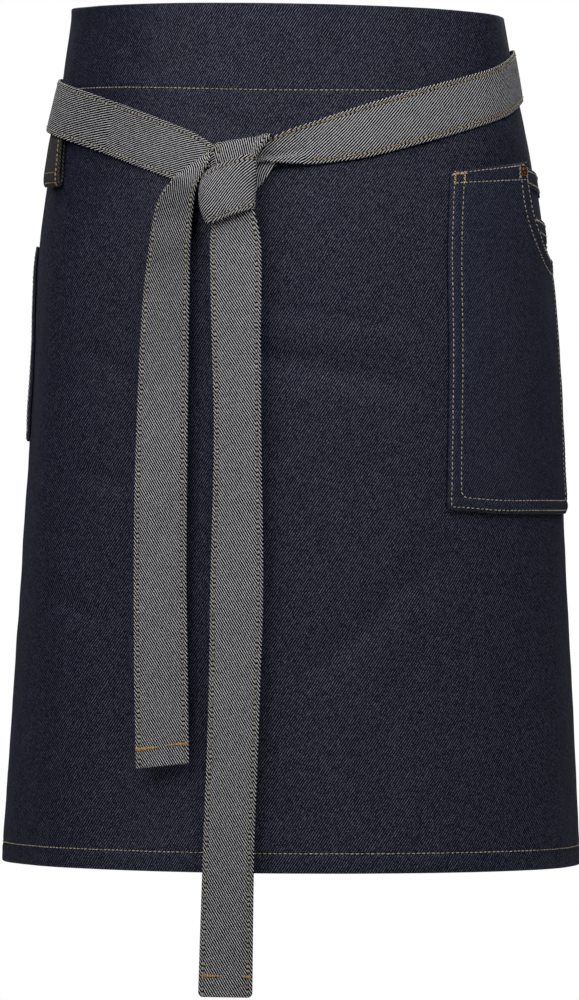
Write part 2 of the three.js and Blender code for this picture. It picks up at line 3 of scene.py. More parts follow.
import bpy
import numpy as np
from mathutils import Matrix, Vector


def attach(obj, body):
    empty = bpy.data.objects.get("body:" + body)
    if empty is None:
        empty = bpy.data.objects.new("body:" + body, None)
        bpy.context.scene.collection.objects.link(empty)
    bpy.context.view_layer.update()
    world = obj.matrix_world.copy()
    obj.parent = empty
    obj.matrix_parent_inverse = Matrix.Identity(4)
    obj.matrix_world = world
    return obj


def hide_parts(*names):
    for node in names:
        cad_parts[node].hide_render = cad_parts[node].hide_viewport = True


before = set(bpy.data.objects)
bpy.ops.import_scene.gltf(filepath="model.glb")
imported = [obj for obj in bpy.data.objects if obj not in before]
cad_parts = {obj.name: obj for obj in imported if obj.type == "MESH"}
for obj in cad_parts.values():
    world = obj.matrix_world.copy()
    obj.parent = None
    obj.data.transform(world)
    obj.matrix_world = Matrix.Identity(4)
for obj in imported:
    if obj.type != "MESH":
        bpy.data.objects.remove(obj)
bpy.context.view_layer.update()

# Camera at the photograph's place: turned to the right of the front, level with the middle of the apron
VIEW_TURN = math.radians(20)
VIEW_DISTANCE = 5.0
VIEW_HEIGHT = -0.2826
LENS, SENSOR_HEIGHT = 253.72, 36
camera_data = bpy.data.cameras.new("camera")
camera_data.sensor_fit = "VERTICAL"
camera_data.sensor_height = SENSOR_HEIGHT
camera_data.lens = LENS
camera_data.clip_end = 60
camera = bpy.data.objects.new("camera", camera_data)
camera.location = (VIEW_DISTANCE * math.sin(VIEW_TURN), -VIEW_DISTANCE * math.cos(VIEW_TURN), VIEW_HEIGHT)
camera.rotation_euler = (math.pi / 2, 0, VIEW_TURN)
bpy.context.scene.collection.objects.link(camera)
bpy.context.scene.camera = camera

# Sizes in millimetres, as in the part
MM = 0.001
JOIN = math.pi / 4
SECTIONS = np.array([  # height, half width, half depth, shift
    (60, 157.2, 118, -2),
    (0, 166.9, 126, -0.8),
    (-45, 174.9, 133.5, 0.3),
    (-100, 182.7, 141, 0.4),
    (-200, 189.5, 147.5, 3),
    (-300, 195.8, 152, 2.8),
    (-539, 210.2, 161, 0),
])
CREASES = np.array([  # along, height, direction in degrees, half length, width, depth
    (66, -190, -11.5, 64, 11, 3.6),
    (85, -156, -9, 54, 6, 1.2),
    (111, -362, 42, 66, 13, 3.2),
    (128, -425, 74, 74, 16, 2.0),
    (-90, -188, -24, 26, 6, 1.9),
    (-94, -268, -15, 27, 6, 1.9),
    (-120, -357, -22, 32, 7, 2.7),
    (-80, -518, 0, 24, 7, 0.8),
    (5, -22, -20, 22, 6, 1.0),
    (-85, 34, -28, 30, 12, 0.8),
    (-150, -330, 90, 230, 38, -5.5),
])
RIPPLES = np.array([  # waves along and up per metre, start, height
    (8.3, 0.9, 0.4, 0.45),
    (13.1, -2.1, 2.1, 0.3),
    (21.7, 9.4, 4.0, 0.12),
    (33.0, -14.0, 1.2, 0.09),
    (17.0, 29.0, 5.1, 0.08),
    (45.0, 24.0, 3.3, 0.05),
])
CLOTH = 1.2
TOP_Z, TOP_TILT, HEM_Z = 62.5, 5.0, -539.0
WAIST_HALF_WIDTH, HEM_HALF_WIDTH = 380.0, 470.0
FACING_BELOW, HEM_DEPTH, SIDE_HEM = 4.0, 18.0, 12.0
HEM_STITCH_Z = -525.4
WAIST_SEAM_REACH, HEM_SEAM_REACH = 360.0, 462.0
WAIST_SEAM_Z, WAIST_SEAM_RISE = 0.7, 6.8
GAP = 0.3
SEAM = 10.0
STITCH = 3.55
TIE_WIDTH, TIE_THICKNESS, TIE_SEAM, TIE_STEP = 36.0, 2.0, 3.0, 2.2
SEAM_SHARE = 1 - 2 * TIE_SEAM / TIE_WIDTH
LONG_CORNER, SHORT_CORNER, SHORT_SLANT, FOLD_WIDTH = 3.5, 1.5, 2.1, 22.0
LEFT_EASE = (470.0, 0.57)  # length over which the left tie's weave is drawn together, and to what share
GOLD_SIZES, STRAW_SIZES = (0.58, 0.52), (0.5, 0.6)  # radius of the ties' stitches and of the dark dots painted as shade in their needle holes
TACK_SPACING = 0.42
LEFT_END_TACKS = [  # place across, distance from the tail's end and width, each from and to
    ((0.88, 0.18), (14.6, 14.6), (2.2, 0.9)), ((-0.93, -0.66), (14.2, 14.6), (2.4, 1.2)),
]
RIGHT_END_TACKS = [
    ((-0.99, -0.12), (13.0, 13.4), (3.4, 0.9)), ((0.2, 0.97), (13.9, 14.0), (0.9, 2.4)),
]

LEFT_TIE_PATH = [  # angle from the front, height, distance out, lean
    (154, 40, 1.7, 0), (164, 40, 1.6, 0), (168, 38.5, 1.4, 0), (174, 30, 1.3, 0), (180, 21, 1.3, 0),
    (186, 12, 1.3, 0), (192, 4.5, 1.4, 0), (198, 1.5, 1.8, 0), (206, 1, 1.9, 0), (225, 1, 1.9, 0),
    (255, 1.2, 2, 0), (275, 0.9, 2.8, 0.6), (290, -0.8, 4, 1.4), (303, -4.3, 4.6, 2.2), (318, -10.1, 4.2, 1.8),
    (328, -18.2, 2.8, 0.6), (336, -25.9, 2, 0.1), (342.5, -33.1, 1.8, 0),
]
RIGHT_TIE_PATH = [
    (-154, 40, 1.7, 0), (-160, 40, 1.7, 0), (-164, 40, 2.2, 0), (-168, 38.5, 3.6, 0), (-174, 30, 4.4, 0),
    (-180, 22, 4.5, 0), (-186, 17, 4.5, 0), (-192, 14.5, 4.4, 0), (-198, 13.6, 4.2, -0.2),
    (-206, 13.6, 4, -0.4), (-225, 15.4, 2.3, 0), (-250, 17.1, 2, 0), (-264, 12.4, 2.3, -0.9),
    (-278, 5.4, 2.6, -1.2), (-288, 0.5, 2.6, -1.2), (-299, -4.4, 2, 0), (-317, -13.5, 1.8, 0),
    (-326, -22.1, 1.8, 0),
]
LEFT_TIE_KNOT = [  # along at both edges, height at both edges, distance out at both edges, crown
    (-19, -31, -29.7, -62.6, 2, 2, 0), (-6.5, -14, -37.5, -68, 2.2, 2.4, 0), (-4, 7, -39.5, -72, 2.8, 2.8, 0),
    (-2.5, 22, -39.5, -63, 3, 3, 0), (-2, 29, -38.5, -46, 3.4, 3.2, 0), (-2.5, 32.5, -37.5, -35, 4.2, 3.8, 0),
    (-3.4, 35.5, -36.6, -30.2, 8, 7.6, 0.5), (-3.2, 34.6, -39.5, -33, 11.4, 11, 0.6),
    (-2.2, 30.5, -45.5, -39.5, 12.2, 12, 0.3), (-0.8, 26, -52, -47, 12.2, 12.2, 0),
    (0, 23.5, -65.5, -65.5, 12.2, 12.2, 0), (-1, 24.5, -79, -78, 12.2, 12.2, 0),
    (-2, 28, -90, -88, 11.4, 11.4, 0.4),
]
RIGHT_TIE_KNOT = [
    (82, 98.6, -14.4, -46.5, 1.9, 1.9, 0), (62.5, 63, -21.2, -51, 2.4, 2.4, 0.8),
    (54, 55, -24, -51, 3.2, 3.2, 1.4), (46.5, 47.5, -26.7, -50.7, 4.4, 4.4, 1.6),
    (37, 37.5, -31.3, -50.2, 5.8, 6, 1.4), (27.5, 27, -37, -50, 6.3, 6.3, 0.4),
    (13.5, 14, -43, -74.5, 6.3, 6.3, 0), (-1.5, -0.5, -50.5, -85, 6.3, 6.3, 0),
    (-8, -5, -55.5, -90, 7.6, 7.6, 1.5), (-9.5, -6, -58, -91, 10.8, 10.8, 3.6),
    (-5, -2, -54.5, -92, 14.4, 14.4, 1.8), (9, 11, -48.2, -87.2, 15.4, 15.4, 0.8),
    (18.5, 20.5, -45, -84, 15.4, 15.4, 0.6), (24.6, 25.8, -44.4, -82.4, 13, 13, 0.4),
    (25, 26, -44.6, -82, 10.8, 10.8, 0.2), (21, 22.5, -46, -79, 9.2, 9.2, 0), (13, 16, -42.5, -67, 9.2, 9.2, 0),
    (3, 3.5, -41.5, -56, 9.2, 9.2, 0), (-3, -6.5, -40.5, -53, 8.6, 8.6, 0), (-5.5, -16, -40, -56.5, 7.8, 7.6, 0),
    (-7, -26, -40.5, -58.5, 7.6, 7.2, 0), (-6.6, -32.5, -43, -60, 9.2, 8.8, 0.4),
    (-5.6, -34, -47, -62.6, 10.8, 10.4, 0.4), (-9.5, -39.4, -55.5, -68.6, 10.8, 10.4, 0.6),
    (-14, -44.8, -64.5, -80, 10.2, 9.6, 0.6), (-16.8, -48, -81, -92, 8.6, 8.2, 0.4),
]
TIE_FOLD = [  # lower edge of the right tie, folded under it beside the knot
    (37.5, 39.2, -48, -50.4, 3.9, 3.7, 0), (30, 34.2, -46.5, -57.2, 3.9, 3.2, 0),
    (22, 29, -47.5, -64.6, 3.8, 3, 0), (14, 24.5, -56, -70, 3.8, 3, 0), (8, 16, -64, -76, 3.6, 3.2, 0),
]
LEFT_TIE_CREASES = [  # rows from and to, place across from and to, width, depth
    (23.8, 27.6, -0.36, -0.42, 2.2, 3.2), (23.8, 27.6, -0.72, -0.78, 3.0, -0.9),
]
RIGHT_TIE_CREASES = [
    (19.4, 24.0, -0.3, -0.5, 1.8, 2.6), (19.4, 24.0, -0.72, -0.8, 3.2, -1.0),
]
LONG_TAIL = [  # height, along at both edges, distance out at both edges
    (-104, -3.6, 31.3, 9.4, 10.2), (-122, -3.6, 32.1, 8.6, 10.6), (-165, -3.6, 31.2, 7.6, 10.6),
    (-234, -1.3, 32.1, 7, 10.5), (-344, -1.8, 35.4, 7, 10.2), (-413, -1.2, 35.1, 7, 10.2),
    (-465, -1.7, 34.7, 7, 10), (-516, -2.4, 33.9, 7, 9.4), (-568, -3.4, 33.4, 8, 8.4), (-624, -4.4, 32.5, 10, 7),
]
SHORT_TAIL = [
    (-105, -18.4, -50, 8.4, 8), (-137, -18.8, -53.9, 8.4, 9), (-172, -19.8, -56.1, 8.4, 10.5),
    (-224, -19.9, -57.6, 8.4, 12), (-276, -19.4, -57.7, 8.4, 13), (-327, -18.9, -57.4, 8.4, 13),
    (-400, -16.4, -55.2, 8.4, 12.4), (-466, -13.9, -52.8, 8, 10.6),
]
POCKET_FRONT, POCKET_REAR, POCKET_BOTTOM = 161.0, 295.0, -292.0
POCKET_TOP_FRONT, POCKET_TOP_REAR, POCKET_HEIGHT = -54.5, -46.0, 240.0
OPEN_WIDTH, OPEN_HEIGHT, OPEN_BEND, GAPE, GAPE_REACH = 65.0, 69.0, 2.3, 2.2, 18.0
BACKING_TOP, BACKING_SET_BACK, BACKING_HEM = -49.5, 1.5, 13.0
COIN_FRONT, COIN_REAR, COIN_TOP, COIN_BOTTOM, COIN_HEM = 232.0, 283.0, -83.0, -166.0, 13.0
LEFT_FRONT, LEFT_REAR, LEFT_TOP, LEFT_BOTTOM, LEFT_HEM = -214.0, -346.0, -102.0, -241.0, 30.0
POCKET_ROWS, POCKET_TOP_ROWS = (2.2, 9.0), (2.2, 10.5)
BACKING_ROWS, COIN_ROWS, LEFT_TOP_ROWS = (2.0, 10.5), (2.0, 9.5), (3.0, LEFT_HEM - 2.5)
FRONT_RISE, FRONT_RISE_REACH, REAR_FALL, REAR_FALL_FROM = 2.4, 45.0, 0.11, 234.0
POCKET_TACKS = [  # from and to, both along and height, then width, radius and pitch
    ((161.6, -57.4), (171.8, -56.2), 1.5, 0.42, 0.75),
    ((163.6, -55.0), (163.6, -64.5), 0.8, 0.4, 1.1), ((170.4, -55.0), (170.4, -64.5), 0.8, 0.4, 1.1),
]
RIVET_TACKS = [((219.4, -48.6), (219.0, -58.5), 0.9, 0.34, 1.3), ((228.2, -50.0), (227.6, -60.0), 0.9, 0.34, 1.3)]
COIN_TACK = ((246, -86.2), (252, -87.4), 1.3, 0.42, 0.75)
NEAR_EDGE = np.arange(0, 11, 0.8)
RIVET_U, RIVET_Z, RIVET_RADIUS = 223.5, -52.7, 4.2
LOOP_FRONT, LOOP_REAR, LOOP_THICKNESS, LOOP_SHEAR = -157.0, -185.0, 1.9, 0.1
LOOP_STEP, LOOP_SEAM_SHARE, LOOP_ROW_HEIGHTS = 1.6, 0.73, (-50.5, -57.5)
LOOP_PATH = [  # height, distance out
    (-5, 1.4), (-14, 2), (-25, 3.6), (-40, 4), (-57, 4), (-60.5, 2.7), (-57, 1.4), (-44, 1.4), (-30, 1.35),
]

noise_source = np.random.default_rng(41)


# Surface of the hanging cloth
def section_slopes():
    rise = np.diff(SECTIONS[:, 1:], axis=0) / np.diff(SECTIONS[:, 0])[:, None]
    slopes = np.empty((len(SECTIONS), 3))
    slopes[0], slopes[-1] = rise[0], rise[-1]
    before, after = rise[:-1], rise[1:]
    total = np.where(before + after == 0, 1, before + after)
    slopes[1:-1] = np.where(before * after <= 0, 0, 2 * before * after / total)
    return slopes


SLOPES = section_slopes()


def section(z):
    heights = SECTIONS[:, 0]
    z = np.clip(np.asarray(z, float), heights[-1], heights[0])
    i = np.clip(np.searchsorted(-heights, -z, side="right") - 1, 0, len(heights) - 2)
    span = (heights[i + 1] - heights[i])[..., None]
    t = (z - heights[i])[..., None] / span
    start, end = SECTIONS[i, 1:], SECTIONS[i + 1, 1:]
    bend = (1 - t) * SLOPES[i] * span - t * SLOPES[i + 1] * span
    return start * (1 - t) + end * t + t * (1 - t) * (bend + (1 - 2 * t) * (start - end))


def oval(z):
    values = section(z)
    half_width, half_depth, shift = values[..., 0], values[..., 1], values[..., 2]
    spread = (half_width - half_depth) / (2 * math.sin(JOIN) - 1)
    side = half_width - spread * math.sin(JOIN)
    return half_width, half_depth, side, side + spread, shift


def facing(u, z):
    _, _, side, front, _ = oval(z)
    length = np.abs(u)
    front_arc, side_arc = front * JOIN, side * (math.pi - 2 * JOIN)
    angle = np.where(length > front_arc, JOIN + (length - front_arc) / side, length / front)
    back = math.pi - JOIN + (length - front_arc - side_arc) / front
    return np.sign(u) * np.where(length > front_arc + side_arc, back, angle)


def at_angle(angle, z, out):
    angle, z, out = np.broadcast_arrays(*(np.asarray(x, float) for x in (angle, z, out)))
    half_width, half_depth, side, front, shift = oval(z)
    turn = np.arctan2(np.sin(angle), np.cos(angle))
    is_front, is_back = np.abs(turn) <= JOIN, np.abs(turn) >= math.pi - JOIN
    x = np.where(is_front | is_back, 0, np.sign(turn) * (half_width - side))
    y = np.where(is_front, front - half_depth, np.where(is_back, half_depth - front, 0))
    reach = np.where(is_front | is_back, front, side) + out
    return np.stack([shift + x + reach * np.sin(turn), y - reach * np.cos(turn), z], -1)


def dent(u, z):
    """Depth of the creases and of the faint unevenness of the hanging cloth."""
    depth = np.zeros(np.broadcast(u, z).shape)
    for along, height, direction, half_length, width, deep in CREASES:
        way = math.radians(direction)
        length = ((u - along) * math.cos(way) + (z - height) * math.sin(way)) / half_length
        across = ((z - height) * math.cos(way) - (u - along) * math.sin(way)) / width
        depth = depth + deep * np.exp(-(length ** 4) - across ** 2)
    for wave_u, wave_z, start, high in RIPPLES:
        depth = depth + high * np.sin(2 * math.pi * MM * (wave_u * u + wave_z * z) + start)
    return depth


def cloth(u, z, out):
    u, z = np.asarray(u, float), np.asarray(z, float)
    return at_angle(facing(u, z), z, out - dent(u, z))


def ramp(low, high, x):
    t = np.clip((x - low) / (high - low), 0, 1)
    return t * t * (3 - 2 * t)


def bell(distance, height, width):
    return height * np.exp(-((distance / width) ** 2))


def norm(vectors):
    return np.linalg.norm(vectors, axis=-1)


def lengths(points):
    """Length along a line up to each of its points."""
    return np.concatenate([[0], np.cumsum(norm(np.diff(points, axis=0)))])


def waist_line(u):
    """Height of the waist's seam, which rises to the left."""
    return WAIST_SEAM_Z + WAIST_SEAM_RISE * ramp(60, -150, u)


# Mesh helpers
def add_object(name, data):
    thing = bpy.data.objects.new(name, data)
    bpy.context.scene.collection.objects.link(thing)
    return thing


def mesh_object(name, points, groups, materials):
    """One object from points in millimetres and groups of faces: (corners, map places, material number)."""
    mesh = bpy.data.meshes.new(name)
    mesh.vertices.add(len(points))
    mesh.vertices.foreach_set("co", np.ascontiguousarray(points * MM, np.float32).ravel())
    corners = np.concatenate([faces.ravel() for faces, _, _ in groups])
    places = np.concatenate([uv.reshape(-1, 2) for _, uv, _ in groups])
    counts = np.concatenate([np.full(len(faces), faces.shape[1]) for faces, _, _ in groups])
    numbers = np.concatenate([np.full(len(faces), number) for faces, _, number in groups])
    mesh.loops.add(len(corners))
    mesh.loops.foreach_set("vertex_index", corners.astype(np.int32))
    mesh.polygons.add(len(counts))
    mesh.polygons.foreach_set("loop_start", (np.cumsum(counts) - counts).astype(np.int32))
    mesh.polygons.foreach_set("material_index", numbers.astype(np.int32))
    mesh.polygons.foreach_set("use_smooth", np.ones(len(counts), bool))
    layer = mesh.uv_layers.new(name="weave")
    layer.data.foreach_set("uv", np.ascontiguousarray(places * MM, np.float32).ravel())
    mesh.update(calc_edges=True)
    mesh.validate()
    for material in materials:
        mesh.materials.append(material)
    return add_object(name, mesh)


def grid_faces(columns, rows):
    c, r = np.meshgrid(np.arange(columns - 1), np.arange(rows - 1))
    a = r.ravel() * columns + c.ravel()
    return np.stack([a, a + 1, a + 1 + columns, a + columns], 1)


def unit(v):
    return v / np.maximum(norm(v)[..., None], 1e-9)


def border_places(columns, rows):
    bottom = [(0, c) for c in range(columns - 1)]
    right = [(r, columns - 1) for r in range(rows - 1)]
    top = [(rows - 1, c) for c in range(columns - 1, 0, -1)]
    left = [(r, 0) for r in range(rows - 1, 0, -1)]
    return np.array(bottom + right + top + left)


def closed_sheet(name, u, z, outer, inner, material, roundness=1.0, weave_u=None):
    """Closed cloth with rolled edges, from grids of places along the panel and of both faces' distances out."""
    steps = 3
    rows, columns = u.shape
    face, back = cloth(u, z, outer), cloth(u, z, inner)
    uv = np.stack([u if weave_u is None else weave_u, z], -1)
    side = rows * columns
    places = border_places(columns, rows)
    r, c = places[:, 0], places[:, 1]
    near = (np.clip(r, 1, rows - 2), np.clip(c, 1, columns - 2))
    middle, half = (face[r, c] + back[r, c]) / 2, (face[r, c] - back[r, c]) / 2
    outward = middle - (face[near] + back[near]) / 2
    thick = unit(half)
    outward = unit(outward - (outward * thick).sum(-1, keepdims=True) * thick)
    uv_out = unit(uv[r, c] - uv[near])
    reach = norm(half)[:, None] * roundness
    ring_points, ring_uv = [face[r, c]], [uv[r, c]]
    for k in range(1, steps + 1):
        turn = math.pi * k / (steps + 1)
        ring_points.append(middle + half * math.cos(turn) + outward * reach * math.sin(turn))
        ring_uv.append(uv[r, c] + uv_out * reach * turn)
    ring_points.append(back[r, c])
    ring_uv.append(uv[r, c] + uv_out * reach * math.pi)
    count = len(places)
    points = np.concatenate([face.reshape(-1, 3), back.reshape(-1, 3)] + ring_points[1:-1])
    border = r * columns + c
    index = [border] + [2 * side + k * count + np.arange(count) for k in range(steps)] + [side + border]
    strips, strip_uv = [], []
    following = np.roll(np.arange(count), -1)
    for k in range(steps + 1):
        a, b = index[k], index[k + 1]
        strips.append(np.stack([a[following], a, b, b[following]], 1))
        p, q = ring_uv[k], ring_uv[k + 1]
        strip_uv.append(np.stack([p[following], p, q, q[following]], 1))
    flat = uv.reshape(-1, 2)
    outer_faces = grid_faces(columns, rows)
    inner_faces = outer_faces[:, ::-1]
    groups = [
        (outer_faces, flat[outer_faces], 0),
        (np.concatenate(strips), np.concatenate(strip_uv), 0),
        (inner_faces + side, flat[inner_faces], 1),
    ]
    return mesh_object(name, points, groups, [material, inside_denim])


def merged(*parts, low=None, high=None, least=0.12):
    values = np.unique(np.concatenate([np.atleast_1d(part) for part in parts]))
    if low is not None:
        values = values[(values >= low) & (values <= high)]
    keep = np.concatenate([[True], np.diff(values) > least])
    return values[keep]


# Straps
STRAP_ACROSS = np.array([1, 0.996, 0.985, 0.965, 0.94, 0.91, 0.88, 0.855, 0.833, 0.81, 0.78, 0.73, 0.62, 0.45, 0.22])
STRAP_ACROSS = np.concatenate([STRAP_ACROSS, [0], -STRAP_ACROSS[::-1]])


def catmull(points, t):
    """Centripetal curve through points, at places counted in points."""
    padded = np.concatenate([[2 * points[0] - points[1]], points, [2 * points[-1] - points[-2]]])
    i = np.clip(np.floor(t).astype(int), 0, len(points) - 2)
    w = (t - i)[:, None]
    p0, p1, p2, p3 = (padded[i + k] for k in range(4))
    ends = ((p0, p1), (p1, p2), (p2, p3))
    d0, d1, d2 = (np.sqrt(norm(b - a))[:, None] for a, b in ends)
    d1 = np.where(d1 < 1e-4, 1, d1)
    d0, d2 = np.where(d0 < 1e-4, d1, d0), np.where(d2 < 1e-4, d1, d2)
    m1 = ((p1 - p0) / d0 - (p2 - p0) / (d0 + d1) + (p2 - p1) / d1) * d1
    m2 = ((p2 - p1) / d1 - (p3 - p1) / (d1 + d2) + (p3 - p2) / d2) * d1
    w2, w3 = w * w, w * w * w
    return (2 * w3 - 3 * w2 + 1) * p1 + (w3 - 2 * w2 + w) * m1 + (3 * w2 - 2 * w3) * p2 + (w3 - w2) * m2


def path_rows(path):
    path = np.array(path, float)
    rows = []
    for i, (angle, z, out, lean) in enumerate(path):
        before, after = path[max(0, i - 1)], path[min(len(path) - 1, i + 1)]
        reach = section(z)[0] + out
        run = math.radians(abs(after[0] - before[0])) * reach * 0.9
        slope = math.atan2(after[1] - before[1], run)
        turn = math.copysign(0.5 * TIE_WIDTH / reach, after[0] - before[0]) * math.sin(slope)
        rise = 0.5 * TIE_WIDTH * math.cos(slope)
        upper = at_angle(math.radians(angle) - turn, z + rise, out - lean)
        lower = at_angle(math.radians(angle) + turn, z - rise, out + lean)
        rows.append((upper, (upper + lower) / 2, lower))
    return np.array(rows)


def knot_rows(table):
    table = np.array(table, float)
    upper = cloth(table[:, 0], table[:, 2], table[:, 4])
    lower = cloth(table[:, 1], table[:, 3], table[:, 5])
    middle = (upper + lower) / 2
    along = np.concatenate([middle[1:2] - middle[:1], middle[2:] - middle[:-2], middle[-1:] - middle[-2:-1]])
    lift = unit(np.cross(along, upper - lower))
    return np.stack([upper, middle + lift * table[:, 6:7], lower], 1)


def tail_rows(table, slant):
    """Rows of a hanging tail, whose end is cut at a slant: right edge higher than the left one."""
    table = np.array(table, float)
    tilt = slant * np.arange(len(table)) / (len(table) - 1)
    upper = cloth(table[:, 1], table[:, 0] + tilt, table[:, 3])
    lower = cloth(table[:, 2], table[:, 0] - tilt, table[:, 4])
    return np.stack([upper, (upper + lower) / 2, lower], 1)


def strap_surface(rows, step, creases, corner):
    """Middle surface of a strap: points and normals on a grid, lengths along it and places on the flat strap."""
    across = STRAP_ACROSS
    reach = np.maximum(*(norm(np.diff(rows[:, k], axis=0)) for k in (0, 2)))
    counts = np.maximum(3, np.round(reach / step)).astype(int)
    t = np.concatenate([i + np.arange(n) / n for i, n in enumerate(counts)] + [[len(rows) - 1.0]])
    if corner:
        nearing = corner * np.array([1, 0.8, 0.6, 0.45, 0.3, 0.18, 0.08, 0.03]) / reach[-1]
        t = np.unique(np.concatenate([t[t < len(rows) - 1 - nearing[0] - 0.01], len(rows) - 1 - nearing, t[-1:]]))
    upper, middle, lower = (catmull(rows[:, k], t) for k in range(3))
    c = across[None, :, None]
    surface = (upper[:, None] * (c * (c + 1) / 2) + middle[:, None] * (1 - c * c)
               + lower[:, None] * (c * (c - 1) / 2))
    along, over = np.gradient(surface, axis=0), np.gradient(surface, across, axis=1)
    normal = unit(np.cross(along, over))
    for start, end, c_start, c_end, width, depth in creases:
        place = np.interp(t, [start, end], [c_start, c_end])
        inside = ramp(start, start + 0.6, t) * ramp(end, end - 0.6, t)
        off = (across[None] - place[:, None]) * norm(upper - lower)[:, None] / 2
        surface = surface + normal * bell(off, depth * inside[:, None], width)[..., None]
    length = lengths(middle)
    if corner:
        left = corner - np.minimum(length[-1] - length, corner)
        inset = (corner - np.sqrt(corner ** 2 - left ** 2)) * 2 / norm(upper - lower)
        surface = middle[:, None] + (surface - middle[:, None]) * (1 - inset)[:, None, None]
    way = unit(np.gradient(middle, axis=0))
    from_middle = surface - middle[:, None]
    ahead = np.sum(from_middle * way[:, None], -1)
    run = np.concatenate([np.zeros((len(t), 1)), np.cumsum(norm(np.diff(surface, axis=1)), 1)], 1)
    aside = run[:, len(across) // 2, None] - run
    aside = np.sign(aside) * np.sqrt(np.clip(aside ** 2 - ahead ** 2, 0, None))
    return surface, normal, length, np.stack([length[:, None] + ahead, aside], -1)


def rounding(edge, thickness):
    """Share of the thickness at a distance from a round edge."""
    return np.sqrt(np.clip(1 - (1 - np.clip(edge / (0.5 * thickness), 0, 1)) ** 2, 0, 1))


def strap_profile(width, thickness):
    """Half thickness across a folded strap: round edges, a bead outside each seam and a pinched seam."""
    edge = (1 - np.abs(STRAP_ACROSS)) * width / 2
    pinch = bell(edge - TIE_SEAM, 0.32, 0.9)
    pillow = 0.16 * ramp(TIE_SEAM, TIE_SEAM + 6, edge)
    return 0.5 * thickness * rounding(edge, thickness) * (1 - pinch + pillow)


def strap(name, rows, material, creases=(), corner=0.0, ease=(0, 1), step=TIE_STEP, width=TIE_WIDTH,
          thickness=TIE_THICKNESS):
    """Closed strap. Returns the object and its shape: middle surface, normals, lengths and half thickness."""
    surface, normal, length, flat = strap_surface(rows, step, creases, corner)
    flat[..., 0] += (1 - ease[1]) * np.clip(ease[0] - flat[..., 0], 0, None)
    closing = rounding(np.minimum(length, length[-1] - length), thickness)
    half = strap_profile(width, thickness)[None] * np.maximum(closing, 0.02)[:, None]
    face, back = surface + normal * half[..., None], surface - normal * half[..., None]
    count, columns = surface.shape[:2]
    index = np.arange(count * columns).reshape(count, columns)
    other = index + count * columns
    other[:, [0, -1]], other[[0, -1]] = index[:, [0, -1]], index[[0, -1]]
    quads = grid_faces(columns, count)
    turned = quads[:, ::-1]
    used, corners = np.unique(np.concatenate([quads, other.ravel()[turned]]), return_inverse=True)
    points = np.concatenate([face.reshape(-1, 3), back.reshape(-1, 3)])[used]
    face_quads, back_quads = corners.reshape(2, -1, 4)
    uv = flat.reshape(-1, 2)
    groups = [(face_quads, uv[quads], 0), (back_quads, uv[turned] * (1, -1), 0)]
    return mesh_object(name, points, groups, [material]), (surface, normal, length, half)


# Stitches: rows of short threads that dip into the cloth at both ends
class Thread:
    """Stitches of one thread: tubes of five rings. dips takes the low ends between them, where they show; these are
    built in a darker copy of the thread, as painted shade.
    """
    SHARES = np.array([0, 0.16, 0.5, 0.84, 1.0])
    SIZES = np.array([0.45, 0.95, 1.0, 0.95, 0.45])
    RINGS, SIDES = 5, 6

    def __init__(self, dips=None):
        self.parts = []
        self.dips = dips

    def row(self, points, normals, pitch=STITCH, fill=0.7, radius=0.4, lift=0.5, jitter=0.08, start=0.0):
        """Stitches along points. fill is the share of the pitch that a stitch takes up, lift its height in radii."""
        if self.dips:
            self.dips.row(points, normals, pitch, 1.1 - fill, 0.9 * radius, 0.1, jitter,
                          start + (fill - 0.05) * pitch)
        length = lengths(points)
        count = int((length[-1] - start) / pitch)
        if count < 1:
            return
        begin = start + np.arange(count) * pitch + noise_source.uniform(-0.06, 0.06, count) * pitch
        share = self.SHARES
        spread = fill * pitch * (1 + noise_source.uniform(-0.08, 0.08, count))
        place = np.clip(begin[:, None] + share[None] * spread[:, None], 0, length[-1])
        centre = np.stack([np.interp(place, length, points[:, k]) for k in range(3)], -1)
        up = unit(np.stack([np.interp(place, length, normals[:, k]) for k in range(3)], -1))
        along = unit(centre[:, -1:] - centre[:, :1]) * np.ones((1, self.RINGS, 1))
        over = unit(np.cross(up, along))
        lean = noise_source.uniform(-jitter, jitter, (count, 1, 1)) + 0.16 * (share - 0.5)[None, :, None]
        rise = np.array([-0.9, 0.25, lift, 0.25, -0.9])[None, :, None] * radius
        centre = centre + up * rise + over * lean
        turn = np.linspace(0, 2 * math.pi, self.SIDES, endpoint=False)
        ring = (over[:, :, None] * np.cos(turn)[None, None, :, None]
                + up[:, :, None] * np.sin(turn)[None, None, :, None])
        self.parts.append(centre[:, :, None] + ring * radius * self.SIZES[None, :, None, None])

    def satin(self, points, normals, radius, lift):
        """One stitch along all the points."""
        span = norm(points[-1] - points[0])
        self.row(points, normals, pitch=span * 0.999, fill=0.98, radius=radius, lift=lift, jitter=0.02)

    def build(self, name, material):
        stitches = np.concatenate(self.parts)
        count, rings, sides = len(stitches), self.RINGS, self.SIDES
        base = np.arange(count)[:, None, None] * rings * sides
        k, j = np.meshgrid(np.arange(rings - 1) * sides, np.arange(sides), indexing="ij")
        following = (j + 1) % sides
        quads = np.stack([k + j, k + following, k + sides + following, k + sides + j], -1).reshape(-1, 4)
        faces = (base + quads[None]).reshape(-1, 4)
        caps = np.stack([np.arange(sides)[::-1], (rings - 1) * sides + np.arange(sides)])
        ends = (base + caps[None]).reshape(-1, sides)
        along = np.arange(count)[:, None, None] * 3.7 + np.arange(rings)[None, :, None] * 0.7
        uv = np.stack(np.broadcast_arrays(along, np.arange(sides) * 0.35), -1).reshape(-1, 2)
        groups = [(faces, uv[faces], 0), (ends, uv[ends], 0)]
        return mesh_object(name, stitches.reshape(-1, 3), groups, [material])


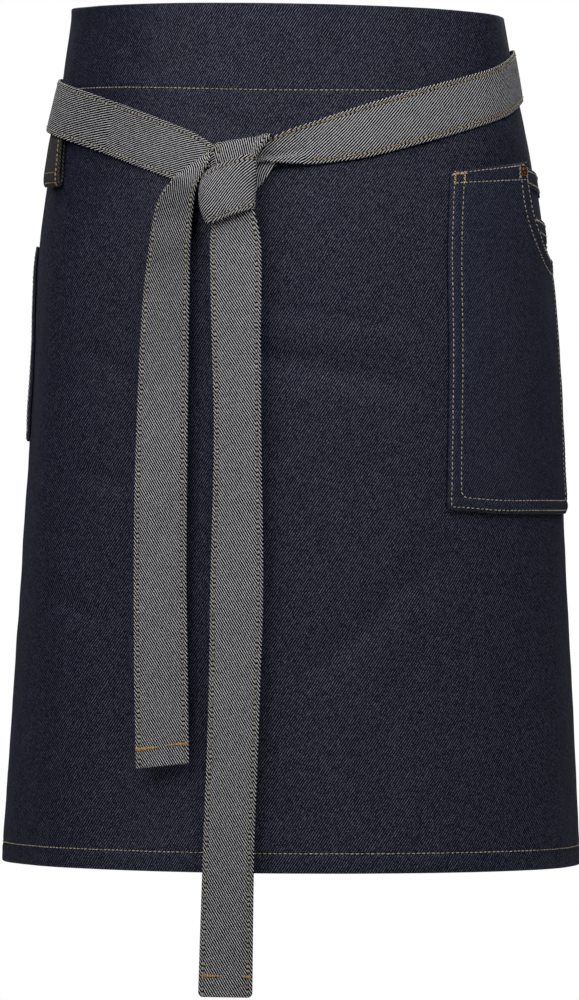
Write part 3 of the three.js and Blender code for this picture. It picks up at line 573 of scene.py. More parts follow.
def surface_row(u, z, out):
    """Points and outward directions along a line on the panel."""
    u, z = np.broadcast_arrays(np.asarray(u, float), np.asarray(z, float))
    out = np.broadcast_to(np.asarray(out, float), u.shape)
    right, up = cloth(u + 1, z, out) - cloth(u - 1, z, out), cloth(u, z + 1, out) - cloth(u, z - 1, out)
    return cloth(u, z, out), unit(np.cross(right, up))


def line(a, b, count=60):
    return np.linspace(a, b, count)


def sew(thread, u, z, out_at):
    """Row of stitches along a line on a pocket's face."""
    thread.row(*surface_row(u, z, out_at(u, z) + 0.1))


def bar_tack(thread, out_at, start, end, width, radius, pitch):
    """Dense zigzag from one place on the panel to another."""
    start, end = np.array(start, float), np.array(end, float)
    way = end - start
    count = max(3, int(np.hypot(*way) / pitch))
    middle = np.linspace(start, end, count)
    aside = np.array([-way[1], way[0]]) / np.hypot(*way) * width / 2
    for k in range(count - 1):
        side = aside if k % 2 else -aside
        u, z = np.linspace(middle[k] + side, middle[k + 1] - side, 5).T
        thread.satin(*surface_row(u, z, out_at(u, z) + 0.12), radius, 0.9)


# Materials
class Shader:
    """A material with its own nodes."""

    def __init__(self, name):
        self.material = bpy.data.materials.new(name)
        self.material.use_nodes = True
        self.tree = self.material.node_tree
        self.tree.nodes.clear()
        self.bsdf = self.node("BsdfPrincipled")
        self.wire(self.bsdf.outputs[0], self.node("OutputMaterial").inputs[0])

    def node(self, kind):
        return self.tree.nodes.new("ShaderNode" + kind)

    def wire(self, value, socket):
        if isinstance(value, bpy.types.NodeSocket):
            self.tree.links.new(value, socket)
        else:
            socket.default_value = value

    def math(self, operation, a, b=0.0, c=None):
        node = self.node("Math")
        node.operation = operation
        for socket, value in zip(node.inputs, (a, b) if c is None else (a, b, c)):
            self.wire(value, socket)
        return node.outputs[0]

    def times(self, a, b):
        return self.math("MULTIPLY", a, b)

    def around(self, value, spread, middle):
        """Value times spread, moved by middle."""
        return self.math("MULTIPLY_ADD", value, spread, middle)

    def mix(self, share, a, b):
        node = self.node("Mix")
        node.data_type = "RGBA"
        self.wire(share, node.inputs[0])
        self.wire(a, node.inputs[6])
        self.wire(b, node.inputs[7])
        return node.outputs[2]

    def scaled(self, colour, factor):
        node = self.node("VectorMath")
        node.operation = "SCALE"
        self.wire(colour, node.inputs[0])
        self.wire(factor, node.inputs[3])
        return node.outputs[0]

    def step(self, value, low, high):
        node = self.node("MapRange")
        node.interpolation_type = "SMOOTHSTEP"
        self.wire(value, node.inputs[0])
        node.inputs[1].default_value = low
        node.inputs[2].default_value = high
        return node.outputs[0]

    def uv(self):
        node, parts = self.node("UVMap"), self.node("SeparateXYZ")
        node.uv_map = "weave"
        self.wire(node.outputs[0], parts.inputs[0])
        return parts.outputs[0], parts.outputs[1]

    def noise(self, x, y, scale_x, scale_y, detail=1.0, offset=0.0):
        node, place = self.node("TexNoise"), self.node("CombineXYZ")
        for socket, value in zip(place.inputs, (self.times(x, scale_x), self.times(y, scale_y), offset)):
            self.wire(value, socket)
        self.wire(place.outputs[0], node.inputs["Vector"])
        node.inputs["Scale"].default_value = 1.0
        node.inputs["Detail"].default_value = detail
        return node.outputs[0]

    def bump(self, height, distance, strength):
        node = self.node("Bump")
        node.inputs["Strength"].default_value = strength
        node.inputs["Distance"].default_value = distance
        self.wire(height, node.inputs["Height"])
        self.wire(node.outputs[0], self.bsdf.inputs["Normal"])

    def set(self, **values):
        for key, value in values.items():
            self.wire(value, self.bsdf.inputs[key.replace("_", " ")])


def twill(name, rows, dark, light, show, fleck, streak, blotch, bump, gloss, painted_shade_and_light=()):
    """Woven twill: light threads in slanted rows over dark ones, uneven along each thread.
    rows gives the rows' slant and their spacing in metres, show how much light thread is seen, fleck its
    unevenness, the fineness of that along and up, its contrast and its slubs, gloss that of the dark and of
    the light thread, and the last argument painted shade, which hides light thread to darken the cloth as
    shade, and painted light where its amount is negative: by how much, and from and to which places along or up, in
    metres."""
    slant, spacing = rows
    uneven, fine_along, fine_up, contrast, slubs = fleck
    shader = Shader(name)
    x, y = shader.uv()
    slow = shader.noise(x, y, 160, 160, 1.0, 3.1)
    cross = shader.math("SUBTRACT", shader.times(x, math.sin(slant) / spacing),
                        shader.times(y, math.cos(slant) / spacing))
    phase = shader.math("ADD", cross, shader.times(slow, 0.4))
    wave = shader.around(shader.math("SINE", shader.times(phase, 2 * math.pi)), 0.5, 0.5)
    grain = shader.noise(x, y, fine_along, fine_up, 0.0, 7.7)
    level = shader.math("ADD", wave, shader.times(shader.math("SUBTRACT", grain, 0.5), uneven))
    slub = shader.step(shader.noise(x, y, 620, 360, 0.0, 4.4), 0.6, 0.78)
    bright = shader.around(shader.step(grain, 0.25, 0.75), contrast, 1 - contrast / 2)
    bright = shader.around(slub, slubs, bright)
    seen = shader.times(shader.step(level, *show), bright)
    thread = shader.noise(x, y, 900, 30, 2.0, 1.3)
    cloud = shader.noise(x, y, 45, 45, 3.0, 9.1)
    tone = shader.math("ADD", shader.around(thread, streak, 1 - streak / 2),
                       shader.around(cloud, blotch, -blotch / 2))
    # Painted shade: less light thread is seen in the given places, and a negative amount paints light back
    for loss, *limits in painted_shade_and_light:
        for way, start, end in limits:
            loss = shader.times(shader.step({"along": x, "up": y}[way], start, end), loss)
        seen = shader.times(seen, shader.math("SUBTRACT", 1.0, loss))
    shader.set(Base_Color=shader.scaled(shader.mix(seen, dark, light), tone))
    shader.set(Roughness=0.72, Specular_IOR_Level=shader.around(seen, gloss[1] - gloss[0], gloss[0]))
    shader.bump(level, 0.00025, bump)
    return shader.material


def thread_material(name, low, high, even=0.3):
    shader = Shader(name)
    x, y = shader.uv()
    twist = shader.math("SINE", shader.math("ADD", shader.times(x, 9000), shader.times(y, 3000)))
    patch = shader.noise(x, y, 160, 160, 2.0, 2.2)
    share = shader.around(twist, 0.14, patch)
    shader.set(Base_Color=shader.mix(shader.step(share, 0.5 - even, 0.5 + even), low, high))
    shader.set(Roughness=shader.around(patch, 0.2, 0.5), Specular_IOR_Level=0.3)
    shader.bump(twist, 0.0001, 0.5)
    return shader.material


DENIM_ROWS = (math.radians(58), 0.00155)
TIE_SLANT = math.radians(33)
# The raw denim shows less light thread at both sides, at the top and most at the upper left: painted shade
denim = twill(
    "raw_denim", DENIM_ROWS, dark=(0.0026, 0.0034, 0.0124, 1), light=(0.039, 0.0395, 0.061, 1), show=(0.54, 1.0),
    fleck=(0.5, 1600, 900, 1.2, 1.1), streak=0.5, blotch=0.4, bump=0.5, gloss=(0.05, 0.6), painted_shade_and_light=[
        (0.48, ("along", -0.05, -0.14)), (0.16, ("along", 0.1, 0.19)), (0.12, ("up", -0.06, 0.03)),
        (0.3, ("along", -0.03, -0.1), ("up", -0.12, -0.06))])
# Less light thread towards the pocket's rear: painted shade
pocket_denim = twill(
    "pocket_denim", DENIM_ROWS, dark=(0.0078, 0.0094, 0.0212, 1), light=(0.05, 0.053, 0.072, 1), show=(0.6, 1.2),
    fleck=(0.5, 1600, 900, 1.1, 0.7), streak=0.4, blotch=0.3, bump=0.5, gloss=(0.06, 0.3),
    painted_shade_and_light=[(0.04, ("along", 0.2, 0.28))])
inside_denim = twill(
    "denim_inside", DENIM_ROWS, dark=(0.01, 0.01, 0.014, 1), light=(0.18, 0.18, 0.19, 1), show=(0.25, 0.85),
    fleck=(0.5, 1600, 900, 0.6, 0.3), streak=0.35, blotch=0.15, bump=0.5, gloss=(0.1, 0.2))
tie_weave = dict(
    dark=(0.0008, 0.0008, 0.0012, 1), light=(0.54, 0.535, 0.557, 1), show=(0.72, 0.93),
    fleck=(0.12, 1300, 1300, 0.4, 0.15), streak=0.2, blotch=0.2, bump=0.6, gloss=(0.05, 0.3))
# Less light thread on the left tie, a little all over, more before the knot and on its part left of the knot, and
# near the long tail's end: painted shade
left_twill = twill("tie_twill_left", (TIE_SLANT, 0.00156), **tie_weave, painted_shade_and_light=[
    (0.05,), (0.13, ("along", 0.69, 0.62)), (0.12, ("along", 0.56, 0.46)), (0.1, ("along", 1.0, 1.12))])
# Less light thread on the right tie past its wrap and on the short tail: painted shade; the two bands at the short
# tail's top, under the knot: painted shadow; the negative amount lower on the tail is painted light that takes part
# of it back
right_twill = twill("tie_twill_right", (TIE_SLANT, 0.00157), **tie_weave, painted_shade_and_light=[
    (0.1, ("along", 0.49, 0.53)), (0.18, ("along", 0.74, 0.76)), (-0.22, ("along", 0.8, 0.88)),
    (0.36, ("along", 0.704, 0.712), ("along", 0.745, 0.73)), (0.2, ("along", 0.73, 0.742), ("along", 0.785, 0.76))])
loop_twill = twill(
    "loop_twill", (TIE_SLANT, 0.00152), dark=(0.007, 0.007, 0.009, 1), light=(0.05, 0.05, 0.056, 1),
    show=(0.4, 1.1), fleck=(0.4, 1300, 1300, 0.5, 0.2), streak=0.25, blotch=0.12, bump=0.5, gloss=(0.1, 0.2))
gold_thread = thread_material("gold_thread", (0.17, 0.134, 0.088, 1), (0.42, 0.37, 0.305, 1))
tie_gold = thread_material("tie_gold_thread", (0.155, 0.095, 0.038, 1), (0.325, 0.228, 0.108, 1))
tie_straw = thread_material("tie_straw_thread", (0.16, 0.13, 0.088, 1), (0.38, 0.335, 0.25, 1))
# A dark copy of the gold thread for the stitches' low ends: painted shade where the thread dips into the cloth
dip_shade_thread = thread_material("dip_shade_thread", (0.022, 0.015, 0.007, 1), (0.07, 0.048, 0.022, 1))
# Near-black dots in the ties' needle holes: painted shade where the thread goes into the cloth
hole_shade_material = thread_material("needle_hole_painted_shade", (0.003, 0.003, 0.004, 1), (0.008, 0.007, 0.007, 1))
tack_thread = thread_material("tack_thread", (0.16, 0.085, 0.02, 1), (0.74, 0.54, 0.3, 1), 0.16)
tie_tack_thread = thread_material("tie_tack_thread", (0.15, 0.07, 0.01, 1), (0.55, 0.34, 0.11, 1), 0.14)


# Panel
def narrowing(level):
    """Share of the hem's width that the panel has at a level."""
    return np.interp(level, [HEM_Z, TOP_Z], [1, WAIST_HALF_WIDTH / HEM_HALF_WIDTH])


def panel():
    edge = 1.1
    near = np.array([-6, -4, -2.6, -1.6, -0.8, 0, 0.8, 1.6, 2.6, 4, 6])
    both = np.array([-0.3, 0.3])
    levels = merged(np.linspace(HEM_Z + edge, TOP_Z - edge, 146), near, HEM_STITCH_Z + near,
                    HEM_Z + HEM_DEPTH + both, both - FACING_BELOW, low=HEM_Z + edge, high=TOP_Z - edge)
    side = HEM_HALF_WIDTH - edge
    turned = HEM_HALF_WIDTH - SIDE_HEM
    lines = merged(np.linspace(-side, side, 236), turned + both, both - turned, low=-side, high=side)
    level, share = np.meshgrid(levels, lines, indexing="ij")
    u = share * narrowing(level)
    z = np.where(level > 0, level * (1 - TOP_TILT / TOP_Z * np.sin(facing(u, level))), level)
    z = z + bell(level, waist_line(u), 22)
    above_stitch = level - HEM_STITCH_Z
    outer = -bell(level, 0.35, 1.5) - bell(above_stitch, 0.4, 1.6)
    outer = outer + 0.25 * ramp(-12, -2, above_stitch) * ramp(0, -4, above_stitch)
    pucker = 0.22 * np.sin(u / 4.1 + 1.3 * np.sin(u / 23)) + 0.16 * np.sin(u / 2.7 + 2)
    outer = outer + pucker * (bell(above_stitch, 1, 9) + bell(level, 0.5, 7))
    double = (level <= HEM_Z + HEM_DEPTH) | (level >= -FACING_BELOW) | (np.abs(share) >= turned)
    inner = outer - np.where(double, 2 * CLOTH, CLOTH)
    eased = u + 0.2 * np.clip(-70 - u, 0, None)
    return closed_sheet("panel_cloth", u, z, outer, inner, denim, weave_u=eased)


def panel_seams(thread):
    u = line(-WAIST_SEAM_REACH, WAIST_SEAM_REACH, 900)
    thread.row(*surface_row(u, waist_line(u), -0.25))
    u = line(-HEM_SEAM_REACH, HEM_SEAM_REACH, 900)
    thread.row(*surface_row(u, HEM_STITCH_Z, -0.25))
    level = line(HEM_Z + 3, TOP_Z - 3, 300)
    for sign in (-1, 1):
        u = sign * (HEM_HALF_WIDTH - SIDE_HEM + 2.5) * narrowing(level)
        thread.row(*surface_row(u, level, 0))


# Pockets
def sewn_edges(out, distances, roll, reach, dip):
    """Outer face of a pocket with rolled edges and dips along its seams, from the distances to its sewn edges."""
    for distance in distances:
        out = out - roll * (1 - ramp(-1, reach, distance))
        for row in POCKET_ROWS:
            out = out - bell(distance - row, dip, 1.1)
    return out


def pressed(inner, outer, distances, rest, least):
    """Inner face of a pocket, pressed towards the panel along its sewn edges."""
    inner = inner + (rest - inner) * (1 - ramp(4, SEAM, np.minimum.reduce(distances)))
    return np.minimum(inner, outer - least)


def pocket_top_line(u):
    return np.interp(u, [POCKET_FRONT, POCKET_REAR - OPEN_WIDTH], [POCKET_TOP_FRONT, POCKET_TOP_REAR])


def opening_top(u):
    share = np.clip((POCKET_REAR - u) / OPEN_WIDTH, 0, 1)
    curve = POCKET_TOP_REAR - OPEN_HEIGHT * (1 - share ** OPEN_BEND) ** (1 / OPEN_BEND)
    return np.where(u <= POCKET_REAR - OPEN_WIDTH, pocket_top_line(u), curve)


def opening_inset(u, z):
    """Distance from the curved opening, into the pocket's cloth."""
    aside = np.maximum(0, POCKET_REAR - u) / OPEN_WIDTH
    down = np.maximum(0, POCKET_TOP_REAR - z) / OPEN_HEIGHT
    radius = (aside ** OPEN_BEND + down ** OPEN_BEND) ** (1 / OPEN_BEND)
    return (np.maximum(1, radius) - 1) * 0.5 * (OPEN_WIDTH + OPEN_HEIGHT)


def rear_fall(u):
    """Drop of the hems inside the opening towards the rear."""
    return REAR_FALL * np.maximum(0, u - REAR_FALL_FROM)


def front_rise(u):
    """Rise of the pocket's bottom edge towards its front corner."""
    return FRONT_RISE * ramp(POCKET_FRONT + FRONT_RISE_REACH, POCKET_FRONT, u)


def pocket_smooth_out(u, z):
    bulge = 0.9 * ramp(-230, -150, z) * ramp(POCKET_FRONT, POCKET_FRONT + 50, u)
    lift = bell(opening_inset(u, z), GAPE, GAPE_REACH) * ramp(-128, -94, z)
    return 2 * GAP + 3 * CLOTH + 0.2 + bulge + lift


def pocket_seam_distances(u, z):
    """Distance of a place from each sewn edge of the right pocket."""
    return u - POCKET_FRONT, POCKET_REAR - u, z - POCKET_BOTTOM - front_rise(u)


def pocket_out(u, z):
    """Outer face of the right pocket, with a swell between its rows of stitches."""
    distances = pocket_seam_distances(u, z)
    out = sewn_edges(pocket_smooth_out(u, z), distances, 1.5, 3.2, 0.42)
    for distance in distances:
        out = out + bell(distance - 5.4, 0.3, 2.2)
    corner = POCKET_REAR - OPEN_WIDTH
    for row in POCKET_TOP_ROWS:
        out = out - bell(pocket_top_line(u) - z - row, 0.32, 1.1) * ramp(corner + 4, corner - 2, u)
        out = out - bell(opening_inset(u, z) - row + 1, 0.32, 1.2) * ramp(-44, -58, z)
    return out


def pocket_front():
    corner = POCKET_REAR - OPEN_WIDTH
    curve = POCKET_REAR - OPEN_WIDTH * np.cos(np.linspace(0, math.pi / 2, 46))
    lines = merged(np.linspace(POCKET_FRONT + 1, corner, 44), curve, POCKET_FRONT + 1 + NEAR_EDGE,
                   POCKET_REAR - 1 - NEAR_EDGE, low=POCKET_FRONT + 1, high=POCKET_REAR - 1)
    rise = merged(np.linspace(0, 1, 96), np.arange(0, 12, 0.8) / POCKET_HEIGHT,
                  1 - np.arange(0, 14, 0.9) / POCKET_HEIGHT, least=0.0005)
    u, share = np.meshgrid(lines, rise)
    bottom = POCKET_BOTTOM + 1 + front_rise(u)
    z = bottom + (opening_top(u) - 1.5 * ramp(corner + 5, corner - 3, u) - bottom) * share
    outer = pocket_out(u, z)
    hem = np.minimum(np.where(u < corner, np.inf, opening_inset(u, z)),
                     np.where(u > corner, np.inf, np.abs(pocket_top_line(u) - z)))
    inner = pocket_smooth_out(u, z) - np.where(hem < 12, 2 * CLOTH, CLOTH + 0.3)
    inner = pressed(inner, outer, pocket_seam_distances(u, z), 0.55, 0.5)
    return closed_sheet("pocket_right_cloth", u, z, outer, inner, pocket_denim, 0.9)


def pocket_seams(thread, tack):
    corner = POCKET_REAR - OPEN_WIDTH
    turn, bend = line(0, math.pi / 2, 12), line(0.06, 1.42, 80)
    for row, round_off in zip(POCKET_ROWS, (1.2, 5.0)):
        front, low, rear = POCKET_FRONT + row, POCKET_BOTTOM + row, POCKET_REAR - row
        u = np.concatenate([np.full(80, front), front + round_off * (1 - np.cos(turn)),
                            line(front + round_off, rear, 60)])
        z = np.concatenate([line(POCKET_TOP_FRONT - 4, low + round_off, 80), low + round_off * (1 - np.sin(turn)),
                            np.full(60, low)])
        sew(thread, u, z + front_rise(u) * np.concatenate([line(0, 1, 80), np.ones(72)]), pocket_out)
        sew(thread, rear, line(low, opening_top(rear) - 3, 80), pocket_out)
        inset = row + 0.28 * (row - 5.6) * np.sin(bend)
        sew(thread, POCKET_REAR - (OPEN_WIDTH + inset) * np.cos(bend) ** (2 / OPEN_BEND),
            POCKET_TOP_REAR - (OPEN_HEIGHT + inset) * np.sin(bend) ** (2 / OPEN_BEND), pocket_out)
    u = line(POCKET_FRONT + 3, corner - 2, 60)
    for row in (POCKET_TOP_ROWS[0], 9.5 + 3.0 * (u - 171) / 56):
        sew(thread, u, pocket_top_line(u) - row, pocket_out)

    def over(u, z):
        return pocket_out(u, z) + 0.25

    for place in POCKET_TACKS:
        bar_tack(tack, over, *place)
    for place in RIVET_TACKS:
        bar_tack(thread, over, *place)


def inner_seams(thread, tack):
    """Stitches of the layers inside the opening."""
    u = line(238, POCKET_REAR - 2, 40)
    for row in BACKING_ROWS:
        thread.row(*surface_row(u, BACKING_TOP - rear_fall(u) - row, GAP + 2 * CLOTH))
    coin_hem = 2 * GAP + 2.5 * CLOTH
    u = line(COIN_FRONT + 4, COIN_REAR - 1.5, 40)
    for row in COIN_ROWS:
        thread.row(*surface_row(u, COIN_TOP - rear_fall(u) - row, coin_hem))
    z = line(COIN_TOP - rear_fall(COIN_REAR) - 1, COIN_BOTTOM + 2, 40)
    thread.row(*surface_row(COIN_REAR - 2.0, z, 2 * GAP + 2.1 * CLOTH))
    bar_tack(tack, lambda u, z: coin_hem, *COIN_TACK)


def backing():
    lines = np.linspace(POCKET_FRONT + 4, POCKET_REAR - 2, 64)
    near_top = np.array([0, 0.5, 1, 2, 3, 4, 6, 8.5, 9.5, 10.5, 11.5, 12.4, 13, 13.6, 15])
    rise = merged(np.linspace(0, 1, 60), 1 - near_top / POCKET_HEIGHT, least=0.0005)
    u, share = np.meshgrid(lines, rise)
    bottom = POCKET_BOTTOM + 4 + front_rise(u)
    top = np.minimum(BACKING_TOP - rear_fall(u), pocket_top_line(u) - BACKING_SET_BACK) - 0.6
    z = bottom + (top - bottom) * share
    drop = (1 - share) * POCKET_HEIGHT
    is_hem = (drop <= BACKING_HEM + 0.1) & (u >= POCKET_REAR - OPEN_WIDTH - SEAM)
    dips = sum(bell(drop - row, 0.3, 1) for row in BACKING_ROWS)
    outer = GAP + np.where(is_hem, 2 * CLOTH - dips, CLOTH)
    inner = np.full(u.shape, GAP * 0.5)
    return closed_sheet("pocket_backing_cloth", u, z, outer, inner, pocket_denim)


def coin_pocket():
    lines = np.linspace(COIN_FRONT, COIN_REAR, 30)
    height = COIN_TOP - COIN_BOTTOM
    near_top = np.array([0, 0.5, 1, 1.5, 2, 2.6, 4, 6, 8, 9, 9.5, 10, 11, 12.6, 13.2])
    rise = merged(np.linspace(0, 1, 34), 1 - near_top / height, least=0.0015)
    u, share = np.meshgrid(lines, rise)
    z = COIN_BOTTOM + (COIN_TOP - rear_fall(u) - COIN_BOTTOM - 0.5) * share
    drop = (1 - share) * height
    base = 2 * GAP + CLOTH
    outer = base + np.where(drop <= COIN_HEM + 0.1, 1.5, 1.0) * CLOTH - 0.5 * (1 - ramp(0, 2, COIN_REAR - u))
    for row in COIN_ROWS:
        outer = outer - bell(drop - row, 0.25, 1)
    inner = np.full(u.shape, base - 0.2)
    return closed_sheet("coin_pocket_cloth", u, z, outer, inner, pocket_denim)


def left_seam_distances(u, z):
    """Distance of a place from each sewn edge of the left pocket."""
    return u - LEFT_REAR, LEFT_FRONT - u, z - LEFT_BOTTOM


def left_pocket_out(u, z):
    bulge = 0.3 * ramp(LEFT_TOP + 4, LEFT_TOP - LEFT_HEM, z) * ramp(LEFT_BOTTOM - 4, LEFT_BOTTOM + 30, z)
    out = sewn_edges(GAP + 2 * CLOTH + bulge, left_seam_distances(u, z), 1.0, 3, 0.35)
    for row in LEFT_TOP_ROWS:
        out = out - bell(LEFT_TOP - z - row, 0.3, 1.1)
    return out


def left_pocket():
    lines = merged(np.linspace(LEFT_REAR + 1, LEFT_FRONT - 1, 60), LEFT_REAR + 1 + NEAR_EDGE,
                   LEFT_FRONT - 1 - NEAR_EDGE)
    levels = merged(np.linspace(LEFT_BOTTOM + 1, LEFT_TOP - 0.8, 60), LEFT_BOTTOM + 1 + NEAR_EDGE,
                    LEFT_TOP - 0.8 - np.arange(0, 5, 0.7), LEFT_TOP - LEFT_HEM + np.arange(-3, 5, 0.7))
    u, z = np.meshgrid(lines, levels)
    outer = left_pocket_out(u, z)
    inner = GAP + np.where(z > LEFT_TOP - LEFT_HEM, 0.2, CLOTH - 0.2)
    inner = pressed(inner, outer, left_seam_distances(u, z), 0.25, 0.4)
    return closed_sheet("pocket_left_cloth", u, z, outer, inner, pocket_denim, 0.9)


def left_pocket_seams(thread):
    for row in POCKET_ROWS:
        z = line(LEFT_TOP - 3, LEFT_BOTTOM + row)
        for u in (LEFT_FRONT - row, LEFT_REAR + row):
            sew(thread, u, z, left_pocket_out)
        sew(thread, line(LEFT_REAR + row, LEFT_FRONT - row), LEFT_BOTTOM + row, left_pocket_out)
    for row in LEFT_TOP_ROWS:
        sew(thread, line(LEFT_REAR + 3, LEFT_FRONT - 3), LEFT_TOP - row, left_pocket_out)


# Rivet
def rivet():
    def place(du, dz):
        u, z = RIVET_U + du, RIVET_Z + dz
        return cloth(u, z, pocket_smooth_out(u, z) + GAP - 0.1)

    right, up = unit(place(1, 0) - place(-1, 0)), unit(place(0, 1) - place(0, -1))
    axis = unit(np.cross(right, up))
    up = np.cross(axis, right)
    profile = np.array([  # share of the radius, height
        (0.92, -0.35), (1.0, -0.1), (1.0, 0.25), (0.95, 0.55), (0.84, 0.78), (0.7, 0.86), (0.6, 0.8), (0.55, 0.68),
        (0.5, 0.7), (0.42, 1.05), (0.32, 1.4), (0.2, 1.52), (0.08, 1.48),
    ])
    turn = np.linspace(0, 2 * math.pi, 40, endpoint=False)
    ring = np.cos(turn)[:, None] * right + np.sin(turn)[:, None] * up
    foot = place(0, 0)
    points = np.concatenate([foot + ring * RIVET_RADIUS * r + axis * h for r, h in profile])
    count = len(turn)
    a, b = np.arange(count), np.roll(np.arange(count), -1)
    band = np.stack([a, b, b + count, a + count], 1)
    faces = np.concatenate([k * count + band for k in range(len(profile) - 1)])
    caps = np.stack([np.arange(count)[::-1], (len(profile) - 1) * count + np.arange(count)])
    uv = points[:, 1:3]
    shader = Shader("rivet_copper")
    x, y = shader.uv()
    grain = shader.noise(x, y, 900, 900, 3.0)
    patch = shader.noise(x, y, 260, 260, 2.0, 4.0)
    dull, bright = (0.10702, 0.04231, 0.01938, 1), (0.28744, 0.12744, 0.06125, 1)
    shader.set(Base_Color=shader.mix(shader.step(patch, 0.35, 0.7), dull, bright))
    shader.set(Metallic=1.0, Roughness=shader.around(grain, 0.3, 0.34))
    shader.bump(grain, 0.0002, 0.3)
    return mesh_object("rivet_cap", points, [(faces, uv[faces], 0), (caps, uv[caps], 0)], [shader.material])


# Ties and loop
def seam_column(share):
    return int(np.argmin(np.abs(STRAP_ACROSS - share)))


def tie_stitches(thread, hole_shades, shape, share, sizes, shown=True):
    """Stitches and dark dots painted as the shade in their needle holes, along a strap, on both faces, at a share
    across it.
    """
    surface, normal, _, half = shape
    column = seam_column(share)
    places = np.where(np.broadcast_to(shown, len(surface)))[0]
    for run in np.split(places, np.where(np.diff(places) > 1)[0] + 1):
        for sign in (1, -1):
            out = sign * normal[run, column]
            points = surface[run, column] + out * half[run, column, None]
            thread.row(points, out, fill=0.82, radius=sizes[0], lift=0.4)
            # Painted shade: dark dots between the stitches, in the needle holes
            hole_shades.row(points, out, fill=0.32, radius=sizes[1], lift=0.3, start=0.74 * STITCH)


def on_strap(shape, sign, along, across):
    """Point and outward direction on one face of a strap, at a length along it and a share across."""
    surface, normal, length, half = shape
    row = int(np.clip(np.searchsorted(length, along) - 1, 0, len(length) - 2))
    share = (along - length[row]) / (length[row + 1] - length[row])
    face = surface[row:row + 2] + sign * normal[row:row + 2] * half[row:row + 2, :, None]
    face = face[0] + (face[1] - face[0]) * share
    order = np.argsort(STRAP_ACROSS)
    point, out = (np.array([np.interp(across, STRAP_ACROSS[order], grid[order, k]) for k in range(3)])
                  for grid in (face, normal[row]))
    return point, sign * out


def tie_end_tacks(tack, shape, table):
    """Satin stitches across a tie near its end, on both faces."""
    half_tie = TIE_WIDTH / 2
    for (c0, c1), (end0, end1), (width0, width1) in table:
        count = int(abs(c1 - c0) * half_tie / TACK_SPACING)
        for k in range(count):
            share = k / (count - 1)
            place = c0 + (c1 - c0) * share
            width = (width0 + (width1 - width0) * share) * noise_source.uniform(0.75, 1.2)
            away = shape[2][-1] - end0 - (end1 - end0) * share
            lean = 0.25 * width / half_tie
            for sign in (1, -1):
                first, out = on_strap(shape, sign, away - width / 2, place - lean)
                last, out = on_strap(shape, sign, away + width / 2, place + lean)
                points = np.linspace(first, last, 5) + out * 0.15
                tack.satin(points, np.broadcast_to(out, points.shape), 0.34, 0.8)


def loop_rows():
    table = np.array(LOOP_PATH, float)
    flare = 1.5 * ramp(-20, -58, table[:, 0]) * (table[:, 1] > 2.5)
    front = LOOP_FRONT - LOOP_SHEAR * table[:, 0]
    return np.stack([cloth(front + (LOOP_REAR - LOOP_FRONT) * share, table[:, 0], table[:, 1] + flare * share)
                     for share in (0, 0.5, 1)], 1)


shaded_thread_dips = Thread()
panel_thread, pocket_thread, pocket_tack = Thread(shaded_thread_dips), Thread(), Thread()
tie_thread, straw_thread, painted_hole_shade_dots, tie_tack = Thread(), Thread(), Thread(), Thread()

panel_cloth = panel()
panel_seams(panel_thread)
pocket_cloth = pocket_front()
backing_cloth = backing()
coin_cloth = coin_pocket()
pocket_seams(pocket_thread, pocket_tack)
inner_seams(pocket_thread, pocket_tack)
left_cloth = left_pocket()
left_pocket_seams(pocket_thread)
rivet_cap = rivet()

left_rows = np.concatenate([path_rows(LEFT_TIE_PATH), knot_rows(LEFT_TIE_KNOT), tail_rows(LONG_TAIL, 0)])
right_rows = np.concatenate([path_rows(RIGHT_TIE_PATH), knot_rows(RIGHT_TIE_KNOT),
                             tail_rows(SHORT_TAIL, SHORT_SLANT)])
left_tie, left_shape = strap("tie_left_cloth", left_rows, left_twill, LEFT_TIE_CREASES, LONG_CORNER, LEFT_EASE)
right_tie, right_shape = strap("tie_right_cloth", right_rows, right_twill, RIGHT_TIE_CREASES, SHORT_CORNER)
tie_fold, _ = strap("tie_right_fold", knot_rows(TIE_FOLD), right_twill, width=FOLD_WIDTH)
for share in (SEAM_SHARE, -SEAM_SHARE):
    tie_stitches(straw_thread, painted_hole_shade_dots, left_shape, share, STRAW_SIZES)
    x, y, z = right_shape[0][:, seam_column(share)].T
    round_waist = (x > 30) | (y > 0)
    in_sight = (share > 0) | (x <= 8) | (x >= 60) | (y >= 0) | (z <= -70)  # not folded under beside the knot
    tie_stitches(tie_thread, painted_hole_shade_dots, right_shape, share, GOLD_SIZES, in_sight & round_waist)
    tie_stitches(straw_thread, painted_hole_shade_dots, right_shape, share, STRAW_SIZES, in_sight & ~round_waist)
tie_end_tacks(tie_tack, right_shape, RIGHT_END_TACKS)
tie_end_tacks(tie_tack, left_shape, LEFT_END_TACKS)

side_loop, loop_shape = strap("side_loop_cloth", loop_rows(), loop_twill, step=LOOP_STEP,
                              width=LOOP_FRONT - LOOP_REAR, thickness=LOOP_THICKNESS)
tie_stitches(tie_thread, painted_hole_shade_dots, loop_shape, LOOP_SEAM_SHARE, GOLD_SIZES)
middle_height = loop_shape[0][:, len(STRAP_ACROSS) // 2, 2]
for height in LOOP_ROW_HEIGHTS:
    along = loop_shape[2][int(np.argmax(middle_height < height))]
    places = [on_strap(loop_shape, 1, along, share) for share in np.linspace(0.72, -0.9, 20)]
    tie_thread.row(*(np.array(part) for part in zip(*places)))

panel_stitches = panel_thread.build("panel_stitches", gold_thread)
pocket_stitches = pocket_thread.build("pocket_stitches", gold_thread)
# The stitches' low ends in the dark thread: painted shade
stitch_dip_shade = shaded_thread_dips.build("stitch_dip_shade", dip_shade_thread)
pocket_tacks = pocket_tack.build("pocket_tacks", tack_thread)
tie_stitching = tie_thread.build("tie_stitches", tie_gold)
straw_stitching = straw_thread.build("tie_straw_stitches", tie_straw)
